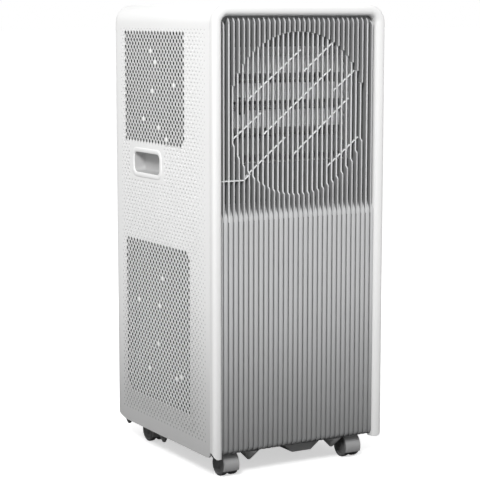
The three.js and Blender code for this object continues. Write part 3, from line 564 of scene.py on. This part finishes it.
class Lattice:
    """One side's diamond lattice: through holes in the vents, shallow dimples elsewhere."""

    def __init__(self, side):
        self.side = side
        self.mesh = Mesh()
        self.finish = []
        self.columns = round((FIELD_Y1 - FIELD_Y0) / CELL_Y)
        self.rows = round((FIELD_Z1 - FIELD_Z0) / CELL_Z)
        self.cell_y = (FIELD_Y1 - FIELD_Y0) / self.columns
        self.cell_z = (FIELD_Z1 - FIELD_Z0) / self.rows
        margin = HANDLE_BORDER + 2.0
        self.zone = (math.floor((HANDLE[0] - margin - FIELD_Y0) / self.cell_y),
                     math.ceil((HANDLE[1] + margin - FIELD_Y0) / self.cell_y),
                     math.floor((HANDLE[2] - margin - FIELD_Z0) / self.cell_z),
                     math.ceil((HANDLE[3] + margin - FIELD_Z0) / self.cell_z))
        self.corner = []
        for j in range(self.rows + 1):
            row = [self.place(i, j) for i in range(self.columns + 1)]
            self.corner.append([self.mesh.point(side * HALF_WIDTH, y, z) for y, z in row])

    def place(self, i, j):
        """Where the lattice point (i, j) lies, as (y, z)."""
        return FIELD_Y0 + i * self.cell_y, FIELD_Z0 + j * self.cell_z

    def has_cell(self, i, j):
        """Whether the grid square with lower corner (i, j) belongs to the lattice."""
        if not (0 <= i < self.columns and 0 <= j < self.rows):
            return False
        first, last, low, high = self.zone
        return not (first <= i < last and low <= j < high)

    def face(self, points, finish=WALL):
        """Adds a face with the number of its finish in LATTICE_FINISH."""
        self.mesh.faces.append(tuple(points))
        self.finish.append(finish)

    def ring(self, y, z, radius, depth):
        """Eight points round (y, z), sunk below the wall by depth."""
        made = []
        for step in range(8):
            angle = math.radians(45 * step)
            made.append(self.mesh.point(self.side * (HALF_WIDTH - depth), y + radius * math.cos(angle),
                                        z + radius * math.sin(angle)))
        return made

    def bridge(self, outer, inner, finish):
        """A band of faces between two rings."""
        for k in range(8):
            self.face((outer[k], outer[(k + 1) % 8], inner[(k + 1) % 8], inner[k]), finish)

    def border(self, around, mouth, finish):
        """The four faces between a diamond's corners and the ring in its middle."""
        for k in range(4):
            a, b = around[k], around[(k + 1) % 4]
            self.face((a, b, mouth[(2 * k + 2) % 8], mouth[2 * k + 1], mouth[2 * k]), finish)

    def diamond(self, i, j, y, z):
        """A whole diamond round the node (i, j)."""
        around = (self.corner[j][i + 1], self.corner[j + 1][i], self.corner[j][i - 1], self.corner[j - 1][i])
        if not in_vent(y, z):
            self.dimple(y, z, around)
        elif near_boss(y, z):
            crown = self.ring(y, z, BOSS_RADIUS, -BOSS_RISE)
            self.border(around, crown, CROWN)
            self.face(crown, CROWN)
        else:
            mouth = self.ring(y, z, HOLE_RADIUS, 0.0)
            # The web round each hole takes the painted shade and light of the vent web finish.
            self.border(around, mouth, WEB)
            self.bridge(mouth, self.ring(y, z, HOLE_RADIUS * 0.97, HOLE_WALL), WEB)

    def dimple(self, y, z, around):
        """A shallow hollow, smaller and flatter near the edge of the field."""
        strength = field_strength(y, z)
        radius = HOLE_RADIUS * (0.34 + 0.56 * strength)
        mouth = self.ring(y, z, radius, 0.0)
        waist = self.ring(y, z, radius * 0.82, 0.15 + 0.4 * strength)
        floor = self.ring(y, z, radius * 0.42, 0.25 + 0.8 * strength)
        self.border(around, mouth, WALL)
        # The sloping walls take the darker copy of the white: painted shade in the hollow.
        self.bridge(mouth, waist, HOLLOW_SHADE)
        self.bridge(waist, floor, HOLLOW_SHADE)
        self.face(floor)

    def node(self, i, j):
        """A diamond, or the half and quarter diamonds that close the field's edge."""
        quarters = [self.has_cell(i - di, j - dj) for di, dj in ((0, 0), (1, 0), (1, 1), (0, 1))]
        if all(quarters):
            self.diamond(i, j, *self.place(i, j))
            return
        steps = ((1, 0), (0, 1), (-1, 0), (0, -1))
        for k, there in enumerate(quarters):
            if there:
                (di, dj), (ei, ej) = steps[k], steps[(k + 1) % 4]
                self.face((self.corner[j][i], self.corner[j + dj][i + di], self.corner[j + ej][i + ei]))

    def grip_surround(self):
        """The plain wall between the lattice and the hole for the grip."""
        first, last, low, high = self.zone
        (y0, z0), (y1, z1) = self.place(first, low), self.place(last, high)
        inner = rounded_rectangle(HANDLE[0] - 2, HANDLE[1] + 2, HANDLE[2] - 2, HANDLE[3] + 2, 9.7, 6)
        outer = rounded_rectangle(y0, y1, z0, z1, 0.001, 6)
        x = self.side * HALF_WIDTH
        self.mesh.grid([[(x, u, v) for u, v in outer], [(x, u, v) for u, v in inner]], closed=True)
        self.finish += [WALL] * (len(self.mesh.faces) - len(self.finish))

    def build(self):
        """Makes the piece, with its faces turned outwards and its four materials."""
        for j in range(self.rows + 1):
            for i in range(self.columns + 1):
                if (i + j) % 2 == 0:
                    self.node(i, j)
        self.grip_surround()
        name = "left" if self.side < 0 else "right"
        obj = new_object(f"{name}_side_lattice", self.mesh.vertices, self.mesh.faces)
        obj.data.polygons.foreach_set("material_index", self.finish)
        work = bmesh.new()
        work.from_mesh(obj.data)
        bmesh.ops.remove_doubles(work, verts=work.verts, dist=1e-6)
        for face in work.faces:
            if abs(face.normal.x) > 0.02 and face.normal.x * self.side < 0:
                face.normal_flip()
        work.to_mesh(obj.data)
        work.free()
        smooth_shaded(obj, 30.0)
        kept = [face.material_index for face in obj.data.polygons]
        add(obj, LATTICE_FINISH[0], "cabinet", "white_shell", "cabinet_shell")
        for finish in LATTICE_FINISH[1:]:
            obj.data.materials.append(finish)
        obj.data.polygons.foreach_set("material_index", kept)


def cabinet():
    """The sleeve: its plain skin and the punched fields of both sides."""
    skin = cabinet_skin().made("cabinet_skin", 28.0)
    add(skin, WHITE, "cabinet", "white_shell", "cabinet_shell")
    Lattice(-1).build()
    Lattice(1).build()


def bezel():
    """The white rim: one rounded section carried up, over and down the front."""
    outer, inner = 6.0, 7.5
    section = [(SKIN, BEZEL_BACK), (0.0, BEZEL_BACK), (0.0, FRONT + outer)]
    section += arc(outer, FRONT + outer, outer, 180, 270, 8)[1:]
    section += arc(BEZEL_WIDTH - inner, FRONT + inner, inner, 270, 360, 5)
    section += [(BEZEL_WIDTH, FIN_BACK), (BEZEL_WIDTH - 2.0, FIN_BACK)]
    rows = []
    for inset, y in section:
        into = max(0.0, RIM_FOOT - inset)
        low = SHELL_BOTTOM + RIM_FOOT - math.sqrt(RIM_FOOT ** 2 - into ** 2)
        rows.append(arch(inset, y, low, [low + 60.0]))
    mesh = Mesh()
    index = mesh.grid(rows)
    mesh.faces.append(tuple(row[0] for row in index))
    mesh.faces.append(tuple(row[-1] for row in reversed(index)))
    add(mesh.made("front_rim", 50.0), RIM, "cabinet", "white_shell", "front_bezel")


# ---- Front grille ----

def fin_places():
    """Where the fins stand across the front."""
    return [(i - (FIN_COUNT - 1) / 2) * FIN_PITCH for i in range(FIN_COUNT)]


def fin_stations(x):
    """Height and front edge of a fin, from its foot in the ramp to the curl at its top."""
    into = max(0.0, abs(x) + FIN_WIDTH / 2 - (PANEL_HALF - PANEL_CORNER))
    top = PANEL_TOP - 1.6 - (PANEL_CORNER - math.sqrt(PANEL_CORNER ** 2 - into ** 2))
    edge = FIN_FRONT + 0.4
    stations = [(RAMP_LOW - 3, edge)]
    chord = math.sqrt(max(0.0, DISC_RADIUS ** 2 - x ** 2))
    recessed = FIN_FRONT + DISC_DEPTH
    if chord > DISC_DEPTH:
        start = DISC_Z - chord - DISC_DEPTH * 0.9
        stations += [(start, edge), (start + 1.2, edge + 0.5), (DISC_Z - chord, recessed)]
        stations += [(DISC_Z + chord - 0.4, recessed), (DISC_Z + chord, edge)]
    for y, z in arc(FIN_FRONT + FIN_CURL, top - FIN_CURL, FIN_CURL, 180, 95, 7):
        stations.append((z, y + 0.4 if z < top - FIN_CURL + 0.1 else y))
    return stations


def fin(mesh, x):
    """One fin with a rounded front edge."""
    half = FIN_WIDTH / 2
    rings = []
    for z, y in fin_stations(x):
        rings.append([(x - half * 1.1, FIN_BACK, z), (x - half, y + 0.9, z), (x - half * 0.62, y + 0.2, z),
                      (x, y, z), (x + half * 0.62, y + 0.2, z), (x + half, y + 0.9, z),
                      (x + half * 1.1, FIN_BACK, z)])
    mesh.loft(rings)


def ramp(z):
    """How far the closed ribs have come forward at height z, from 0 behind to 1 at the front."""
    t = max(0.0, min(1.0, (RAMP_HIGH - z) / (RAMP_HIGH - RAMP_LOW)))
    return t * t * (3 - 2 * t)


def rib_front(z):
    """Front of the closed ribs: it rolls under at the foot and falls back at the ramp."""
    y = FIN_BACK + 1.0 - (FIN_BACK + 1.0 - FIN_FRONT) * ramp(z)
    if z < PANEL_BOTTOM + PANEL_ROLL:
        down = (PANEL_BOTTOM + PANEL_ROLL - z) / PANEL_ROLL
        y += PANEL_ROLL * (1 - math.sqrt(max(0.0, 1 - down ** 2)))
    return y


def ribs(mesh):
    """The closed lower front: crowned ribs with a narrow groove beside each fin's line."""
    groove, depth, edge, crown = 2.1, 4.0, 0.9, 0.35
    profile = [(-PANEL_HALF, 0.0)]
    for x in fin_places():
        start = x - groove
        profile += [(start - edge, 0.12), (start - 0.25, 0.55), (start, 1.1), (start + 0.1, depth)]
        profile += [(x - 0.1, depth), (x, 1.1), (x + 0.3, 0.5), (x + edge + 0.3, 0.1)]
        profile += [(x + 3.2, -crown * 0.6), (x + 4.6, -crown * 0.5)]
    profile = [(min(u, PANEL_HALF), v) for u, v in profile] + [(PANEL_HALF, 0.3)]
    levels = [PANEL_BOTTOM + PANEL_ROLL * (1 - math.cos(math.radians(a))) for a in range(0, 91, 15)]
    levels += [80, 140, 200, 260, 320, 370]
    levels += [RAMP_LOW + (RAMP_HIGH - RAMP_LOW) * t / 10 for t in range(11)]
    rows = []
    for z in levels:
        y = rib_front(z)
        fade = min(1.0, max(0.12, ramp(z)))
        rows.append([(u, min(PLATE_BACK, y + v * fade), z) for u, v in profile])
    rows.insert(0, [(u, PLATE_BACK - 4.0, PANEL_BOTTOM) for u, v in profile])
    mesh.grid(rows)


def tie(mesh, x0, z0, x1, z1, sunk):
    """A thin strap between the fins, sunk behind the front of the fins."""
    length = math.hypot(x1 - x0, z1 - z0)
    ax, az = (x1 - x0) / length, (z1 - z0) / length
    half, front, rear = 0.85, FIN_FRONT + sunk, FIN_BACK - 1.0
    section = [(-half, rear), (-half, front + 0.5), (-half * 0.5, front), (half * 0.5, front),
               (half, front + 0.5), (half, rear)]
    rings = []
    for along in (0.0, length):
        rings.append([(x0 + ax * along - az * u, y, z0 + az * along + ax * u) for u, y in section])
    mesh.loft(rings)


def grille_straps():
    """The diagonal straps and the bent one in the lower left corner."""
    mesh = Mesh()
    for ends in TIES:
        tie(mesh, *ends, TIE_SUNK)
    for ends in CORNER_TIES:
        tie(mesh, *ends, CORNER_TIE_SUNK)
    # The straps take the lighter painted-light copy of the grey.
    add(mesh.made("grille_straps", 40.0), STRAP_PAINTED_LIGHT, "cabinet", "grey_front", "front_panel")


def fin_finish(face):
    """0 on a fin's front inside the round recess (painted light), 1 on flanks and at the back (painted
    shade), 2 outside the recess.
    """
    behind = face.center.y > (FIN_FRONT + DISC_DEPTH + 2.5) * MM
    flank = abs(face.normal.x) > 0.9 and face.area > 3e-6
    if behind or flank:
        return 1
    from_middle = math.hypot(face.center.x / MM, face.center.z / MM - DISC_Z)
    return 2 if from_middle > DISC_RADIUS + 3.0 else 0


def grille_fins():
    """All fins and the frame behind them."""
    mesh = Mesh()
    for x in fin_places():
        fin(mesh, x)
    inner = rounded_rectangle(-OPENING_HALF, OPENING_HALF, RAMP_LOW, PANEL_TOP - 7, 9)
    outer = rounded_rectangle(-PANEL_HALF, PANEL_HALF, RAMP_LOW, PANEL_TOP, PANEL_CORNER)
    front, rear = FIN_BACK - 2, FIN_BACK
    mesh.outlines([(outer, rear), (outer, front), (inner, front), (inner, rear), (outer, rear)])
    obj = mesh.made("grille_fins", 40.0)
    add(obj, FIN_FACE_PAINTED_LIGHT, "cabinet", "grey_front", "front_panel")
    # Fronts inside the recess get painted light; flanks and the frame behind get painted shade.
    refinish(obj, (FIN_FLANK_PAINTED_SHADE, FIN_OUTER), fin_finish)


def grille_ribs():
    """The closed lower front, with painted shade in its grooves: they take a darker copy of the grey."""
    mesh = Mesh()
    ribs(mesh)
    obj = mesh.made("grille_ribs", 60.0)
    thick = obj.modifiers.new("skin", "SOLIDIFY")
    thick.thickness = 0.6 * MM
    thick.offset = -1
    add(obj, GREY, "cabinet", "grey_front", "front_panel")
    # Faces more than 1 mm behind the rib front take the painted groove shade.
    refinish(obj, (GROOVE_PAINTED_SHADE,), lambda face: int(face.center.y / MM - rib_front(face.center.z / MM) > 1.0))


def duct_apron():
    """The flat flange of the outlet duct that closes the space behind the fins round its mouth, in a
    near-black tone that is painted shade.
    """
    mouth = rounded_rectangle(*DUCT_MOUTH, 4)
    edge = rounded_rectangle(-128.0, 128.0, RAMP_LOW + 3.0, PANEL_TOP - 2.0, 12)
    front, rear = PLATE_BACK + 0.4, PLATE_BACK + 2.4
    mesh = Mesh()
    mesh.outlines([(edge, rear), (edge, front), (mouth, front), (mouth, rear), (edge, rear)])
    add(mesh.made("duct_apron", 40.0), APRON_PAINTED_SHADE, "cabinet", "grey_front")


def tray_underside():
    """Smooth support cones and the rounded sump under the base tray."""
    mesh = Mesh()
    for side in (-1, 1):
        for x, y, tip, radius, top in CONES:
            profile = [(0.01, tip - 0.4), (1.8, tip - 0.4), (2.9, tip + 0.4), (radius, top - 1.4),
                       (radius + 0.15, top - 0.8), (radius + 0.15, top), (0.01, top)]
            mesh.turned(profile, upright(side * x, y), 36)
    middle = 30.0
    half_bowl = [(42.4, 39.0), (42.4, 37.2), (41.6, 36.2), (17.6, 17.6), (15.6, 16.6)]
    bowl = [(middle - u, w) for u, w in half_bowl] + [(middle + u, w) for u, w in reversed(half_bowl)]
    ends = [(middle + (u - middle) * 0.985, w + 0.8 if w < 38.0 else w) for u, w in bowl]
    levels = [(ends, -124.5), (bowl, -123.6), (bowl, -30.4), (ends, -29.5)]
    mesh.loft([[(u, y, w) for u, w in points] for points, y in levels])
    add(mesh.made("tray_underside", 40.0), TRAY, "cabinet", "dark_plastic")


# ---- Grips, controls and rear fittings ----

def handle_cup(side):
    """A side grip: the raised border and the cup, through outlines (growth, x, corner radius)."""
    y0, y1, z0, z1 = HANDLE
    face = HALF_WIDTH + 0.9
    floor = face - HANDLE_DEPTH
    border = HANDLE_BORDER
    mesh = Mesh()
    levels = [(border + 0.4, HALF_WIDTH + 0.05, 14.4), (border, HALF_WIDTH + 0.5, 14),
              (border - 1.2, face, 12.8), (1.4, face, 9.4), (0.4, face - 0.5, 8.4),
              (0.0, face - 1.6, 8.0), (-1.2, floor + 3.0, 7.4), (-2.2, floor + 0.9, 6.6), (-4.5, floor, 4.6)]
    rings = []
    for grow, x, radius in levels:
        points = rounded_rectangle(y0 - grow, y1 + grow, z0 - grow, z1 + grow, radius)
        rings.append([(side * x, u, v) for u, v in points])
    index = mesh.grid(rings, closed=True)
    mesh.faces.append(tuple(index[-1]))
    name = "left" if side < 0 else "right"
    obj = mesh.made(f"{name}_grip", 50.0)
    add(obj, WHITE, "cabinet", "white_shell", f"{name}_handle_cup")
    # Faces inside the cup take the painted shade.
    refinish(obj, (GRIP_PAINTED_SHADE,), lambda side_face: int(abs(side_face.center.x) < (HALF_WIDTH - 1.5) * MM))


def ring_mark(mesh, x, y, z, radius, width, start=0.0, sweep=360.0):
    """A flat ring or part of one, angles in degrees."""
    steps = 32
    rows = []
    for step in range(steps + 1):
        angle = math.radians(start + sweep * step / steps)
        c, s = math.cos(angle), math.sin(angle)
        rows.append([(x + c * r, y + s * r, z + h) for r, h in
                     ((radius, -0.1), (radius, 0.1), (radius + width, 0.1), (radius + width, -0.1))])
    mesh.grid(rows, closed=True)


def bar_mark(mesh, x, y, z, dx, dy, width=0.8):
    """A flat bar centred on (x, y) whose half length is (dx, dy)."""
    length = math.hypot(dx, dy)
    nx, ny = -dy / length * width / 2, dx / length * width / 2
    base = [(x - dx - nx, y - dy - ny), (x + dx - nx, y + dy - ny),
            (x + dx + nx, y + dy + ny), (x - dx + nx, y - dy + ny)]
    mesh.loft([[(u, v, z - 0.1) for u, v in base], [(u, v, z + 0.1) for u, v in base]])


def button_marks(name, x, y, z):
    """Plain signs with no lettering: open ring with a bar, star, three rings, arrows, clock."""
    mesh = Mesh()
    if name == "power":
        ring_mark(mesh, x, y, z, 2.4, 0.7, 125, 290)
        bar_mark(mesh, x, y + 2.2, z, 0.0, 1.6)
    elif name == "mode":
        for turn in range(3):
            angle = math.radians(60 * turn)
            bar_mark(mesh, x, y, z, 3 * math.cos(angle), 3 * math.sin(angle), 0.6)
    elif name == "fan_speed":
        for turn in range(3):
            angle = math.radians(120 * turn + 30)
            ring_mark(mesh, x + 1.5 * math.cos(angle), y + 1.5 * math.sin(angle), z, 1.0, 0.6)
    elif name in ("up", "down"):
        way = 1 if name == "up" else -1
        bar_mark(mesh, x - 1.3, y, z, 1.4, 1.2 * way)
        bar_mark(mesh, x + 1.3, y, z, 1.4, -1.2 * way)
    else:
        ring_mark(mesh, x, y, z, 2.8, 0.6)
        bar_mark(mesh, x, y + 1.0, z, 0.0, 1.1, 0.6)
        bar_mark(mesh, x + 0.7, y, z, 0.8, 0.0, 0.6)
    add(mesh.made(f"{name}_mark", 30.0), MARK, f"{name}_button", "display_black")


def button_top(name):
    """Middle of a button's top face."""
    low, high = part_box(f"{name}_button")
    return (low[0] + high[0]) / 2 / MM, (low[1] + high[1]) / 2 / MM, high[2] / MM


def buttons():
    """Dished round caps, each with its sign."""
    radius = BUTTON_RADIUS
    for name in BUTTON_NAMES:
        x, y, top = button_top(name)
        profile = [(0.01, top - 12), (2.0, top - 12), (2.0, top - 8.6), (9.2, top - 8.6), (9.2, top - 6.6),
                   (radius, top - 6.4), (radius, top - 0.9), (radius - 0.3, top - 0.3), (radius - 0.9, top),
                   (radius - 2.2, top - 0.05), (3.0, top - 0.35), (0.01, top - 0.4)]
        mesh = Mesh()
        mesh.turned(profile, upright(x, y), 48)
        add(mesh.made(f"{name}_cap", 40.0), CAPS, f"{name}_button", "button_white", f"{name}_button")
        button_marks(name, x, y, top - 0.3)


def control_face():
    """The rounded control panel with its button wells and a lamp above each button."""
    mesh = Mesh()
    z = TOP - 0.4
    rings = []
    for inset, level, radius in ((0.3, z - 3.4, 10), (0.3, z - 0.7, 10), (0.55, z - 0.2, 9.8), (1.2, z, 9.3)):
        points = rounded_rectangle(inset - CONTROL_HALF, CONTROL_HALF - inset, CONTROL_FRONT + inset,
                                   CONTROL_BACK - inset, radius)
        rings.append([(u, v, level) for u, v in points])
    mesh.loft(rings)
    obj = mesh.made("control_face", 40.0)
    holes = Mesh()
    for name in BUTTON_NAMES:
        x, y, _ = button_top(name)
        well = BUTTON_RADIUS + 0.4
        holes.turned([(well, z - 6), (well, z + 2)], upright(x, y), 48)
    points = rounded_rectangle(*DISPLAY, 2, 6)
    holes.loft([[(u, v, z - 6) for u, v in points], [(u, v, z + 2) for u, v in points]])
    cutter = holes.made("control_holes")
    cut = obj.modifiers.new("holes", "BOOLEAN")
    cut.object = cutter
    cut.solver = "EXACT"
    apply_modifiers(obj)
    bpy.data.objects.remove(cutter, do_unlink=True)
    smooth_shaded(obj, 40.0)
    add(obj, CONTROL, "cabinet", "panel_grey", "top_panel")
    lamps = Mesh()
    for index in range(len(BUTTON_NAMES)):
        x = (index - (len(BUTTON_NAMES) - 1) / 2) * BUTTON_PITCH
        lamps.turned([(0.9, z - 0.3), (0.9, z + 0.05), (0.5, z + 0.15)], upright(x, LAMP_Y), 16)
    add(lamps.made("status_lamps"), LAMP, "cabinet", "panel_grey")


def apply_modifiers(obj):
    """Replaces the mesh by what its modifiers make of it."""
    graph = bpy.context.evaluated_depsgraph_get()
    mesh = bpy.data.meshes.new_from_object(obj.evaluated_get(graph), depsgraph=graph)
    obj.modifiers.clear()
    obj.data = mesh


def exhaust_ring():
    """The smooth exhaust collar with a rolled mouth, a flange and a bead inside."""
    outer, inner = COLLAR_OUTER, COLLAR_INNER
    profile = [(outer, COLLAR_FRONT), (outer, 150.0), (outer + 5, 153.0), (outer + 5, 157.0), (outer, 157.4),
               (outer, BACK - 1.2), (outer - 0.5, BACK - 0.6), (inner + 0.5, BACK - 0.6), (inner, BACK - 1.2),
               (inner, BACK - 9), (inner - 1.6, BACK - 10), (inner - 1.6, BACK - 12), (inner, BACK - 13),
               (inner, COLLAR_FRONT)]
    rings = []
    for radius, y in profile + profile[:1]:
        circle = arc(COLLAR_X, COLLAR_Z, radius, 0, 360, 72)[:-1]
        rings.append([(u, y, v) for u, v in circle])
    mesh = Mesh()
    mesh.grid(rings, closed=True)
    add(mesh.made("exhaust_ring", 35.0), WHITE, "cabinet", "white_shell", "exhaust_collar")


def screws():
    """Cross-head screws that hold the rear panel."""
    places = [(x, z) for x in SCREW_X for z in SCREW_Z]
    mesh = Mesh()
    for x, z in places:
        mesh.turned([(3.6, 166.0), (3.4, 166.5), (2.4, 166.85), (0.7, 166.95)],
                    lambda u, v, w, x=x, z=z: (x + u, w, z + v), 24)
    add(mesh.made("rear_screws", 40.0), STEEL, "cabinet", "steel")
    slots = Mesh()
    for x, z in places:
        slots.box(x - 1.8, x + 1.8, 166.7, 166.98, z - 0.3, z + 0.3)
        slots.box(x - 0.3, x + 0.3, 166.7, 166.98, z - 1.8, z + 1.8)
    add(slots.made("rear_screw_slots"), DARK, "cabinet", "steel")


def filter_nets():
    """Dark nets close behind the punched vents of both sides."""
    mesh = Mesh()
    for side in (-1, 1):
        for y0, y1, z0, z1 in (UPPER_VENT, LOWER_VENT):
            x = side * (HALF_WIDTH - 4.6)
            mesh.box(min(x, x + side * 0.6), max(x, x + side * 0.6), y0 - 4, y1 + 4, z0 - 4, z1 + 4, 0.2)
    add(mesh.made("side_filter_nets"), NET, "cabinet", "dark_plastic")


# ---- Castors ----

def castor_wheels(name, x, y):
    """The twin wheels of one castor, with rounded treads and dished hubs."""
    mesh = Mesh()
    for side in (-1, 1):
        profile = [(3.0, 0.4), (3.0, 3.4), (12.0, 3.4), (WHEEL - 1.6, 3.6), (WHEEL - 0.4, 4.6), (WHEEL, 6.2),
                   (WHEEL, 11.2), (WHEEL - 0.5, 12.8), (WHEEL - 1.8, 13.7), (14.2, 13.9), (13.4, 13.2),
                   (12.8, 12.6), (7.0, 12.6), (6.2, 13.4), (5.4, 13.9), (0.3, 13.95)]
        mesh.turned(profile, lambda u, v, w, s=side: (x + s * w, y + u, WHEEL + v), 44)
    obj = mesh.made(f"castor_{name}_tyres", 32.0)
    add(obj, TREAD, f"castor_{name}_roller", "wheel_rubber", f"castor_{name}_wheels")


def castor_hood(name, x, stem_y):
    """The arched fender over a castor's wheels, the web between them and the stem."""
    y = stem_y - TRAIL
    mesh = Mesh()
    half, inner, outer = 13.4, WHEEL + 0.7, WHEEL + 2.2
    rows = []
    for step in range(31):
        angle = math.radians(204 - 184 * step / 30)
        c, s = math.cos(angle), math.sin(angle)
        section = [(-half, inner), (-half, outer - 0.7), (-half + 0.7, outer), (half - 0.7, outer),
                   (half, outer - 0.7), (half, inner), (half - 1.2, inner), (-half + 1.2, inner)]
        rows.append([(x + u, y + r * c, WHEEL + r * s) for u, r in section])
    mesh.loft(rows)
    web = [(-8, -5), (-4, -8), (4, -8), (8, -5), (13, 6), (15, 12), (0, 18.6), (-10, 16), (-9, 4)]
    mesh.loft([[(x + u, y + a, WHEEL + b) for a, b in web] for u in (-2.5, 2.5)])
    mesh.turned([(4.0, WHEEL + 8), (6.4, WHEEL + 9), (6.4, WHEEL + 19.6), (4.0, WHEEL + 20.2), (4.0, 53.9)],
                upright(x, stem_y), 28)
    obj = mesh.made(f"castor_{name}_fender", 38.0)
    add(obj, HOOD, f"castor_{name}", "castor_grey", f"castor_{name}_hood")


# ---- Stage ----

def studio_world():
    """An even white surround, a little brighter along the horizon."""
    world = bpy.data.worlds.new("studio")
    world.use_nodes = True
    tree = world.node_tree
    place = node(tree, "ShaderNodeTexCoord")
    split = node(tree, "ShaderNodeSeparateXYZ")
    ramp = node(tree, "ShaderNodeValToRGB")
    join(tree, place, "Generated", split, "Vector")
    height = node(tree, "ShaderNodeMapRange", **{"From Min": -1.0})
    join(tree, split, "Z", height, "Value")
    join(tree, height, "Result", ramp, "Fac")
    stops = ramp.color_ramp.elements
    stops[0].position, stops[0].color = 0.0, (BELOW, BELOW, BELOW, 1)
    stops[1].position, stops[1].color = 1.0, (ABOVE, ABOVE, ABOVE, 1)
    for position, level in ((0.46, BELOW), (0.49, 1.0), (0.51, 1.0), (0.56, ABOVE)):
        stop = stops.new(position)
        stop.color = (level, level, level, 1)
    join(tree, ramp, "Color", tree.nodes["Background"], "Color")
    tree.nodes["Background"].inputs["Strength"].default_value = 1.0
    bpy.context.scene.world = world
    bpy.context.scene.view_settings.view_transform = "Standard"


def stage():
    """A pale floor that throws no light back up, with a dark disc under it that shades the foot."""
    reach = FLOOR_REACH
    corners = [(-reach, -reach, 0), (reach, -reach, 0), (reach, reach, 0), (-reach, reach, 0)]
    floor = new_object("floor", corners, [(0, 1, 2, 3)])
    pale = material("pale_floor", (0.9, 0.9, 0.9), rough=0.9, grain=5, bump=0.0, shade=0.002, specular=0.0)
    glow = pale.node_tree.nodes["Principled BSDF"]
    glow.inputs["Emission Color"].default_value = (1, 1, 1, 1)
    glow.inputs["Emission Strength"].default_value = FLOOR_GLOW
    floor.data.materials.append(pale)
    floor.visible_diffuse = False
    floor.visible_glossy = False
    points = [(0.01, -2.0), (DARK_DISC, -2.0), (DARK_DISC, -3.0), (0.01, -3.0)]
    below = Mesh()
    below.turned(points, upright(0.0, 0.0), 48)
    disc = below.made("floor_shade")
    disc.data.materials.append(material("floor_dark", (0.05, 0.05, 0.05), rough=0.9, bump=0.0, specular=0.0))


def area_light(name, place, aim, size, power, spread):
    """A square lamp in metres and watts. spread is the angle of its cone in degrees."""
    data = bpy.data.lights.new(name, "AREA")
    data.shape = "SQUARE"
    data.size = size
    data.energy = power
    data.spread = math.radians(spread)
    lamp = bpy.data.objects.new(name, data)
    lamp.location = place
    lamp.rotation_euler = (Vector(aim) - Vector(place)).to_track_quat("-Z", "Y").to_euler()
    bpy.context.scene.collection.objects.link(lamp)


def lights():
    """A key lamp at the front left, a soft one at the right and one for the back."""
    area_light("key", (-1.75, -2.1, 2.2), (0, 0, 0.56), 0.8, 9.6, 60.0)
    area_light("right_fill", (2.4, -1.6, 1.5), (0, 0, 0.5), 1.4, 2.5, 120.0)
    area_light("back_key", (1.6, 2.3, 2.0), (0, 0, 0.5), 1.0, 4.6, 90.0)


def camera():
    """The camera at the front left, looking slightly down."""
    data = bpy.data.cameras.new("camera")
    data.sensor_width = SENSOR
    data.lens = LENS
    eye = bpy.data.objects.new("camera", data)
    eye.location = EYE
    yaw, pitch = math.radians(YAW), math.radians(PITCH_DOWN)
    forward = Vector((math.sin(yaw) * math.cos(pitch), math.cos(yaw) * math.cos(pitch), -math.sin(pitch)))
    eye.rotation_euler = forward.to_track_quat("-Z", "Y").to_euler()
    data.clip_end = 100.0
    bpy.context.scene.collection.objects.link(eye)
    bpy.context.scene.camera = eye


camera()
studio_world()
stage()
lights()
finish_cad_nodes()
cabinet()
bezel()
grille_straps()
grille_fins()
grille_ribs()
duct_apron()
tray_underside()
handle_cup(-1)
handle_cup(1)
control_face()
buttons()
exhaust_ring()
screws()
filter_nets()
for castor, (stem_x, stem_y) in CASTORS.items():
    castor_wheels(castor, stem_x, stem_y - TRAIL)
    castor_hood(castor, stem_x, stem_y)
